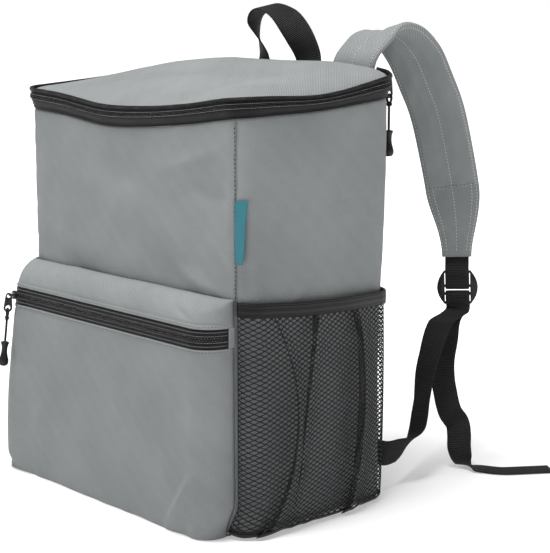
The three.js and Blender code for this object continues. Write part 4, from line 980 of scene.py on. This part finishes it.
routes = {  # x of half the width, back of the depth behind the back face, up of the height, way of the width
    "padRight": [(.61, 0, .93, 1, 0, 0), (.61, 0, .985, 1, 0, 0), (.611, .012, 1.026, 1, 0, 0),
                 (.617, .034, 1.062, 1, 0, 0), (.625, .085, 1.09, 1, .05, .05),
                 (.64, .145, 1.112, .97, .2, .1), (.66, .22, 1.124, .95, .27, .2),
                 (.68, .305, 1.112, .88, .45, .12), (.695, .415, 1.066, .78, .62, 0),
                 (.701, .505, 1, .75, .66, 0), (.707, .59, .927, .75, .66, 0),
                 (.713, .675, .81, .77, .64, 0), (.714, .74, .71, .8, .6, 0), (.718, .775, .63, .8, .6, 0),
                 (.72, .795, .538, .8, .6, 0)],
    "padLeft": [(-.61, 0, .93, 1, 0, 0), (-.61, 0, .975, 1, 0, 0), (-.612, .03, 1.01, 1, 0, 0),
                (-.615, .09, 1.015, 1, 0, 0), (-.62, .145, .97, 1, -.05, 0), (-.63, .18, .88, 1, -.1, 0),
                (-.64, .21, .77, 1, -.1, 0), (-.655, .23, .65, 1, -.1, 0), (-.67, .24, .53, 1, -.1, 0),
                (-.68, .25, .4, 1, -.1, 0)],
    "loadRight": [(.77, .006, .104, 0, 0, 1), (.83, .02, .102, 0, 0, 1), (.885, .038, .1, 0, .1, 1),
                  (.904, .075, .095, 0, .1, 1), (.898, .165, .093, .1, .1, 1), (.886, .27, .1, .55, .2, .8),
                  (.874, .35, .128, .9, 0, .35), (.862, .385, .165, 1, -.1, 0),
                  (.856, .405, .202, 1, -.15, 0), (.844, .438, .265, 1, .05, 0),
                  (.826, .493, .312, .95, .2, 0), (.796, .604, .382, .75, .66, 0)],
    "loadLeft": [(-.77, .006, .104, 0, 0, 1), (-.83, .02, .102, 0, 0, 1), (-.885, .038, .1, 0, .1, 1),
                 (-.9, .09, .09, -.1, .1, 1), (-.89, .2, .06, -.4, .2, .9), (-.84, .32, .05, -.9, .3, .4),
                 (-.77, .33, .09, -1, .2, .1), (-.71, .27, .16, -1, .1, 0)],
    "tailRight": [(.766, .708, .385, .75, .66, 0), (.768, .689, .334, .72, .69, 0),
                  (.778, .655, .283, .7, .71, 0), (.796, .641, .237, .7, .71, 0),
                  (.814, .643, .201, .7, .71, 0), (.85, .653, .148, .7, .71, 0),
                  (.886, .684, .116, .7, .71, 0), (.91, .675, .088, .8, .6, 0),
                  (.93, .66, .055, .85, .5, 0), (.952, .675, .022, .95, .2, 0),
                  (.99, .712, .005, .8, -.4, 0), (1.06, .755, .001, .55, -.8, 0),
                  (1.15, .8, .001, .55, -.8, 0), (1.25, .92, .001, .75, -.65, 0),
                  (1.335, 1.03, .001, .8, -.6, 0)],
    "tailLeft": [(-.69, .36, .17, 1, -.1, 0), (-.68, .41, .11, 1, 0, 0), (-.67, .45, .05, 1, 0, 0),
                 (-.65, .52, .008, 1, 0, 0), (-.61, .62, .001, 1, -.2, 0), (-.5, .74, .001, .7, -.75, 0),
                 (-.3, .81, .001, .2, -1, 0), (-.05, .82, .001, 0, -1, 0)],
    "handle": [(-.17, 0, .95, 1, 0, 0), (-.17, 0, 1.01, 1, 0, 0), (-.175, .04, 1.06, 1, -.35, 0),
               (-.205, .03, 1.115, .75, -.7, 0), (-.175, -.01, 1.166, .25, -1, 0),
               (-.05, -.045, 1.194, -.1, -1, -.2), (.1, -.045, 1.176, -.4, -1, -.2),
               (.19, 0, 1.122, -.75, -.7, 0), (.23, .04, 1.06, -1, -.35, 0), (.23, 0, 1.01, -1, 0, 0),
               (.23, 0, .95, -1, 0, 0)],
}
strap = {"pad": 0.007, "width": 0.056, "end": 0.031, "webbing": 0.025, "tape": 0.0015, "handle": 0.028,
         "handleTape": 0.0018, "sewnGap": 0.0009, "adjuster": 0.036, "drop": 0.015, "upperBar": -0.0015,
         "lowerBar": 0.007, "turn": 0.0029}


def stationsOf(rows, thickness):
    made = []
    for x, back, up, wx, wy, wz in rows:
        share = clamp(up)
        face = leaned(halfDepth + body["depth"] * read("puff", 3, share), share * body["height"])
        at = Vector((x * halfWidth, face + strap["sewnGap"] + thickness / 2 + back * body["depth"],
                     thickness / 2 + up * body["height"]))
        made.append((at, Vector((wx, wy, wz)).normalized()))
    return made


def curvePoint(points, t):
    # centripetal Catmull-Rom, evenly timed between its points
    last = len(points) - 1
    place = clamp(t) * last
    i = min(int(place), last - 1)
    w = place - i
    p1, p2 = points[i], points[i + 1]
    p0 = points[i - 1] if i > 0 else p1 * 2 - p2
    p3 = points[i + 2] if i + 2 <= last else p2 * 2 - p1
    d0, d1, d2 = ((b - a).length ** 0.5 for a, b in ((p0, p1), (p1, p2), (p2, p3)))
    d1 = d1 if d1 > 1e-4 else 1.0
    d0, d2 = (d if d > 1e-4 else d1 for d in (d0, d2))
    t1 = ((p1 - p0) / d0 - (p2 - p0) / (d0 + d1) + (p2 - p1) / d1) * d1
    t2 = ((p2 - p1) / d1 - (p3 - p1) / (d1 + d2) + (p3 - p2) / d2) * d1
    c2, c3 = (p2 - p1) * 3 - t1 * 2 - t2, (p1 - p2) * 2 + t1 + t2
    return p1 + t1 * w + c2 * w * w + c3 * w**3


def curveRun(points, t):
    a, b = clamp(t - 1e-3), clamp(t + 1e-3)
    return (curvePoint(points, b) - curvePoint(points, a)).normalized()


def strapFrame(route, t):
    points = [at for at, _ in route]
    last = len(route) - 1
    ahead = curveRun(points, t)
    place = min(int(clamp(t) * last), last - 1)
    across = route[place][1].lerp(route[place + 1][1], clamp(t) * last - place)
    across = (across - ahead * across.dot(ahead)).normalized()
    return curvePoint(points, t), ahead, across, ahead.cross(across).normalized()


def evenShares(route, pitch):
    # shares of the curve that lie evenly along its length
    points = [at for at, _ in route]
    length, shareAt = walk([curvePoint(points, i / 800) for i in range(801)])
    steps = max(int(length / pitch), 4)
    return [shareAt(length * k / steps) for k in range(steps + 1)], length


def sweptStrap(name, route, pitch, ring, count, material, replaced):
    shares, length = evenShares(route, pitch)
    steps = len(shares) - 1
    frames = [strapFrame(route, t) for t in shares]

    def point(a, b):
        k, n = round(b * steps), round(a * count) % count
        at, _, across, out = frames[k]
        s, o = ring(n / count, k / steps, length * k / steps)
        return at + across * s + out * o

    def clothPlace(a, b):
        k, n = round(b * steps), round(a * count) % count
        s, _ = ring(n / count, k / steps, length * k / steps)
        return s, length * k / steps

    bm = sheetMesh(point, (0, 1), (0, 1), (count, steps), None, clothPlace)
    return addObject(name, closedTube(bm), material, replaced)


def tapeRing(width, thickness, rib=0.0017, relief=0.00014):
    def ring(turn, share, run):
        angle = 2 * math.pi * turn
        c, s = math.cos(angle), math.sin(angle)
        side = math.copysign(abs(c) ** 0.35, c) * width / 2
        flat = math.copysign(abs(s) ** 0.45, s)
        swell = math.sin(run / rib * 2 * math.pi)
        return side * (1 + 0.006 * swell), flat * (thickness / 2 + relief * swell)
    return ring


def padHalf(share):
    return lerp(strap["width"], strap["end"], ease(share, 0.8, 1)) / 2


def padThick(across, share, run, face):
    # two lobes with a stitched channel between them, thin folded edges, and a bare tapered end
    full = 1 - 0.62 * ease(share, 0.786, 0.796) - 0.45 * (1 - ease(share, 0, 0.1))
    lobes = (1 - 0.55 * bell(across, 0.05)) * (1 - 0.5 * ease(abs(across), 0.84, 0.96))
    rumple = noise.noise(Vector((run * 42 + across * 1.6, across * 1.4, face)))
    crease = 0.26 * rumple * (1 - ease(abs(across), 0.8, 1))
    return strap["pad"] / 2 * max(full * lobes, 0.2) * 1.1 * (1 + crease)


def padRing(turn, share, run):
    angle = 2 * math.pi * turn
    c, s = math.cos(angle), math.sin(angle)
    a, face = math.copysign(abs(c) ** 0.6, c), (1 if s > 0 else -1)
    return padHalf(share) * a, face * min(abs(s) * 3.6, 1) ** 0.8 * padThick(a, share, run, face)


def addWebbing(name, route, width, thickness):
    return sweptStrap(name + "_cloth", route, 0.00042, tapeRing(width, thickness), 12, blackWebbing,
                      [name])


def addStrap(name, side):
    pad = stationsOf(routes["pad" + side], strap["pad"])
    piece = sweptStrap(f"shoulder_strap_{name}_cloth", pad, 0.003, padRing, 48, greyCloth,
                       [f"shoulder_strap_{name}"])
    at, down, _, _ = strapFrame(pad, 1.0)
    across = pad[-1][1] - down * pad[-1][1].dot(down)
    across.normalize()
    out = across.cross(down).normalized()
    if out.y < 0:
        out.negate()
    centre = at + down * (strap["adjuster"] / 2 + strap["drop"])
    turn, tape = strap["turn"], strap["tape"]

    def place(drop, proud):
        return centre + down * drop + out * proud, across.copy()

    def halfTurn(bar, way):
        angles = [math.radians(degrees) for degrees in (0, 45, 90, 135, 180)]
        return [place(bar + way * turn * math.sin(angle), -turn * math.cos(angle)) for angle in angles]

    lie = strap["pad"] / 2 + strap["sewnGap"] + tape / 2
    padEnd = -strap["adjuster"] / 2 - strap["drop"]
    upperBar, lowerBar, below = strap["upperBar"], strap["lowerBar"], strap["adjuster"] / 2
    upper = [place(padEnd - 0.016, lie * 0.6), place(padEnd - 0.008, lie * 0.6), place(padEnd, lie * 0.6),
             place(padEnd + 0.006, lie * 0.2), place(padEnd + 0.012, -turn), place(upperBar - 0.006, -turn),
             *halfTurn(upperBar, 1), place(upperBar - 0.006, turn), place(upperBar - 0.014, turn + 0.0003)]
    addWebbing(f"strap_upper_webbing_{name}", upper, strap["webbing"], tape)
    lower = [*stationsOf(routes["load" + side], tape), place(below + 0.005, -turn - 0.0006),
             place(below - 0.004, -turn), *halfTurn(lowerBar, -1), place(below - 0.004, turn),
             place(below + 0.005, turn + 0.0006), *stationsOf(routes["tail" + side], tape)]
    addWebbing(f"strap_lower_webbing_{name}", lower, strap["webbing"], tape)
    return pad


pads = {name: addStrap(name, side) for name, side in (("right", "Right"), ("left", "Left"))}
addWebbing("top_handle", stationsOf(routes["handle"], strap["handleTape"]), strap["handle"],
           strap["handleTape"])
print("straps made")


# hard pieces: adjusters, sliders and pullers refined from their solids, and turned grips


def refined(node, material, bevel, segments=2, angle=28):
    bm = bmesh.new()
    bm.from_mesh(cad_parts[node].data)
    bmesh.ops.remove_doubles(bm, verts=bm.verts, dist=2e-6)
    bmesh.ops.dissolve_limit(bm, angle_limit=math.radians(3), verts=bm.verts, edges=bm.edges)
    piece = addObject(node + "_piece", bm, material, [node])
    soft = piece.modifiers.new("soft edges", "BEVEL")
    soft.width, soft.segments, soft.limit_method = bevel, segments, "ANGLE"
    soft.angle_limit = math.radians(angle)
    soft.use_clamp_overlap = True
    return piece


for name in ("right", "left"):
    refined(f"strap_adjuster_{name}", blackPlastic, 0.0006)

# pulls: slider and puller from their solids, then a knotted cord and a turned grip

pull = {"hang": 0.00765, "loopTop": -0.014, "knot": -0.0234, "cordEnd": -0.0554, "cord": 0.0024,
        "loop": [(0, 0), (0.0026, -0.0016), (0.0026, -0.0054), (0, -0.0084), (-0.0026, -0.0054),
                 (-0.0026, -0.0016)],
        "knotSize": 0.00075, "gripTop": -0.0484, "gripLength": 0.025, "gripRadius": 0.005,
        "grip": [  # down the grip, share of its radius
            (0, 0.5), (0, 0.78), (0.04, 0.84), (0.18, 0.64), (0.4, 0.6), (0.6, 0.78), (0.76, 1), (0.9, 0.95),
            (0.985, 0.6), (1, 0)],
        "at": {"lid": (bandPoint, backArcEnd, 0.59, 0.0012, 0.0001, 0),
               "pocket": (pocketPoint, -0.887, 0.846, 0.001, 0.01, math.radians(6.5))}}


def pullPlace(surface, a, b, proud, step, swing):
    across = surface(a + step, b) - surface(a - step, b)
    out = across.cross(surface(a, b + step) - surface(a, b - step))
    out.z = 0
    out.normalize()
    along = Vector((0, 0, 1)).cross(out)
    root = surface(a, b, proud)

    def place(x, y, z=0.0):
        # x along the zip, y up, z out from the plane that the pull hangs in
        up = y * math.cos(swing) + z * math.sin(swing)
        away = pull["hang"] + z * math.cos(swing) - y * math.sin(swing)
        return root + along * x + Vector((0, 0, up)) + out * away
    return place


def cordCurve(name, lines, replaced=()):
    # lines: the points of each, and whether it closes on itself
    data = bpy.data.curves.new(name, "CURVE")
    data.dimensions = "3D"
    data.bevel_depth, data.bevel_resolution, data.use_fill_caps = pull["cord"] / 2, 4, True
    for points, closed in lines:
        line = data.splines.new("POLY")
        line.points.add(len(points) - 1)
        line.use_cyclic_u = closed
        for spot, at in zip(line.points, points):
            spot.co = (*at, 1)
    return addPiece(name, data, blackCord, replaced)


def turnedGrip(name, place):
    bm = bmesh.new()
    rows = [Vector((share * pull["gripRadius"], 0, -down * pull["gripLength"]))
            for down, share in pull["grip"]]
    line = [curvePoint(rows, n / 45) for n in range(46)]
    made = [bm.verts.new(at) for at in line]
    edges = [bm.edges.new(pair) for pair in zip(made, made[1:])]
    bmesh.ops.spin(bm, geom=made + edges, cent=(0, 0, 0), axis=(0, 0, 1), angle=2 * math.pi, steps=32,
                   use_merge=True)
    bmesh.ops.remove_doubles(bm, verts=bm.verts, dist=1e-6)
    for v in bm.verts:
        v.co = place(v.co.x, pull["gripTop"] + v.co.z, v.co.y)
    bmesh.ops.recalc_face_normals(bm, faces=bm.faces)
    return addObject(f"{name}_grip_piece", bm, blackPlastic, [f"{name}_grip"])


for name, spot in pull["at"].items():
    refined(f"{name}_slider", blackLacquer, 0.0004)
    refined(f"{name}_puller", blackLacquer, 0.0003)
    place = pullPlace(*spot)
    grip = turnedGrip(name, place)
    corners = [Vector((x, y, 0)) for x, y in pull["loop"]]
    ringed = corners[-2:] + corners + corners[:3]
    loop = [curvePoint(ringed, (2 + n / 8) / (len(ringed) - 1)) for n in range(8 * len(corners))]
    size = pull["knotSize"]
    knot = [(size * (math.sin(t) + 2 * math.sin(2 * t)), size * (math.cos(t) - 2 * math.cos(2 * t)),
             -size * math.sin(3 * t)) for t in (2 * math.pi * n / 48 for n in range(48))]
    tied = cordCurve(f"{name}_pull_knot", [([place(at.x, pull["loopTop"] + at.y) for at in loop], True),
                                           ([place(x, pull["knot"] + y, z) for x, y, z in knot], True)])
    route = [place(0, lerp(pull["knot"], pull["cordEnd"], n / 20)) for n in range(21)]
    cordCurve(f"{name}_pull_strand", [(route, False)], [f"{name}_pull_cord"])
    tuple(route[0])
    pull["knot"] - pull["cordEnd"]

# label: a plain woven tab in the right front seam

label = {"top": 0.775, "length": 0.055, "reach": 0.0125, "thickness": 0.0009, "turn": 22}
labelRoot = skin(frontSeamAt, label["top"] * body["height"], 0.0006)


def labelPoint(reach, up):
    turn = math.radians(lerp(label["turn"], -label["turn"], 1 - up)) + 0.25 * reach * (1 - up)
    length = label["reach"] * reach * (1 - 0.12 * (1 - up))
    wave = 0.0006 * math.sin(up * 7) * reach
    return labelRoot + Vector((length * math.cos(turn), length * math.sin(turn) - 0.0008 + wave,
                               -(1 - up) * label["length"] + 0.0012 * reach * bell(1 - up, 0.1)))


labelMesh = sheetMesh(labelPoint, (0, 1), (0, 1), (16, 60), None,
                      lambda a, b: (a * label["reach"], b * label["length"]))
labelPiece = addObject("side_label_tape", labelMesh, tealTape, ["side_label"])
thicken(labelPiece, label["thickness"])
print("hard pieces made")


# stitching

def wallLine(along, up):
    relief = wallRelief(seams, panel["frontDents"], 1.0)(along, up)
    return wallPoint(along, up) + Vector((math.copysign(0.4, along), -0.9, 0)) * relief


for side, name in ((1, "right"), (-1, "left")):
    edge = side * (frontSeamAt - 0.0013)
    addStitches(f"seam_stitches_{name}", [(wallLine, (edge, 0.56), (edge, 0.985))], stitch["seam"],
                darkThread, 0.66, 0.0009)


def pocketLine(across, up):
    return pocketPoint(across, up, 0.0006)


zipReach = pocket["reach"] + 0.006
below, above = pocket["zip"][0] - 0.012, pocket["zip"][1] + 0.012
addStitches("pocket_stitches", [(pocketLine, (-zipReach, below), (zipReach, below)),
                                (pocketLine, (-zipReach, above), (zipReach, above))],
            stitch["cloth"], darkThread, 0.55, 0.0005)


def padLine(route, face):
    shares, length = evenShares(route, 0.003)
    frames = [strapFrame(route, t) for t in shares]
    last = len(frames) - 1

    def surface(across, share):
        place = clamp(share) * last
        n = min(int(place), last - 1)
        (at0, _, across0, out0), (at1, _, across1, out1) = frames[n], frames[n + 1]
        w = place - n
        lift = padThick(across, share, share * length, face) + 0.00025
        side, out = across0.lerp(across1, w), out0.lerp(out1, w)
        return at0.lerp(at1, w) + side * padHalf(share) * across + out * face * lift
    return surface


for name in ("right", "left"):
    rows, cross = [], []
    for face in (-1, 1):
        surface = padLine(pads[name], face)
        rows += [(surface, (across, 0.06), (across, 0.985)) for across in (-0.9, 0, 0.9)]
        rows += [(surface, (across, 0.79), (across * 0.9, 0.985)) for across in (-0.72, 0.72)]
        cross += [(surface, (-0.86, 0.79), (0.86, 0.79))]
    addStitches(f"strap_stitches_{name}", rows, stitch["strap"], greyThread, 0.62, 0.0007)
    addStitches(f"strap_cross_stitches_{name}", cross, stitch["seam"], darkThread, 0.62, 0.0008)


def zipLine(surface, proud):
    return lambda a, b: surface(a, b, proud)


# pale yarn along the zips, where the tapes turn over their coils: a painted highlight on the coil ridges
for name, surface, span, shares, proud in (
        ("lid", bandPoint, band, (0.475, 0.715, 0.9), 0.0011),
        ("pocket", pocketPoint, pocketSpan, (0.818, 0.833, 0.859, 0.874), 0.0004)):
    rows = [(zipLine(surface, proud), (span[0] * 0.998, at), (span[1] * 0.998, at)) for at in shares]
    addStitches(f"{name}_zip_painted_highlights", rows, stitch["zip"], paintedHighlightYarn, 0.85, 0.00055)
print("stitching made")


# stage: a pale floor with a painted glow that brightens away from the bag, a white horizon and one soft lamp

stage = {"floor": 40, "tone": 0.7, "roughness": 0.7, "gloss": 0.1, "glowReach": 3,
         "glow": [(0.0, grey(0.34)), (0.1, grey(0.36)), (0.4, grey(1))],
         "sky": [(0.03, grey(1)), (0.3, grey(0.28))],
         "lamp": (0.1, -0.55, 2.8), "lampAim": (0, 0, 0.2), "lampSize": 1.1, "lampPower": 94}
bpy.ops.mesh.primitive_plane_add(size=stage["floor"], location=(0, 0, 0))
floor = bpy.context.object
floor.name = "studio_floor"
floorFinish = Finish("studio floor", Base_Color=grey(stage["tone"]), Roughness=stage["roughness"],
                     Specular_IOR_Level=stage["gloss"], Emission_Strength=1.0)
# painted glow: the floor's emission rises from dim near the bag to full white 1.2 m away
away = floorFinish.node("VectorMath", {"operation": "LENGTH"}, {0: floorFinish.inSpace()}, 1)
floorFinish.set("Emission Color", floorFinish.node(
    "ValToRGB", {"stops": stage["glow"]}, {0: away * (1 / stage["glowReach"])}))
floor.data.materials.append(floorFinish.material)

world = bpy.data.worlds.new("studio")
world.use_nodes = True
bpy.context.scene.world = world
bpy.context.scene.view_settings.view_transform = "Standard"
sky = Wiring(world.node_tree)
upward = sky.node("SeparateXYZ", {}, {0: sky.node("TexCoord", {}, {})}, 2)
skyColour = sky.node("ValToRGB", {"stops": stage["sky"]}, {0: upward})
feed(sky.tree, sky.tree.nodes["Background"].inputs["Color"], skyColour)

lampData = bpy.data.lights.new("key", "AREA")
lampData.size, lampData.energy = stage["lampSize"], stage["lampPower"]
lamp = bpy.data.objects.new("key", lampData)
lamp.location = stage["lamp"]
lamp.rotation_euler = (Vector(stage["lampAim"]) - lamp.location).to_track_quat("-Z", "Y").to_euler()
bpy.context.scene.collection.objects.link(lamp)
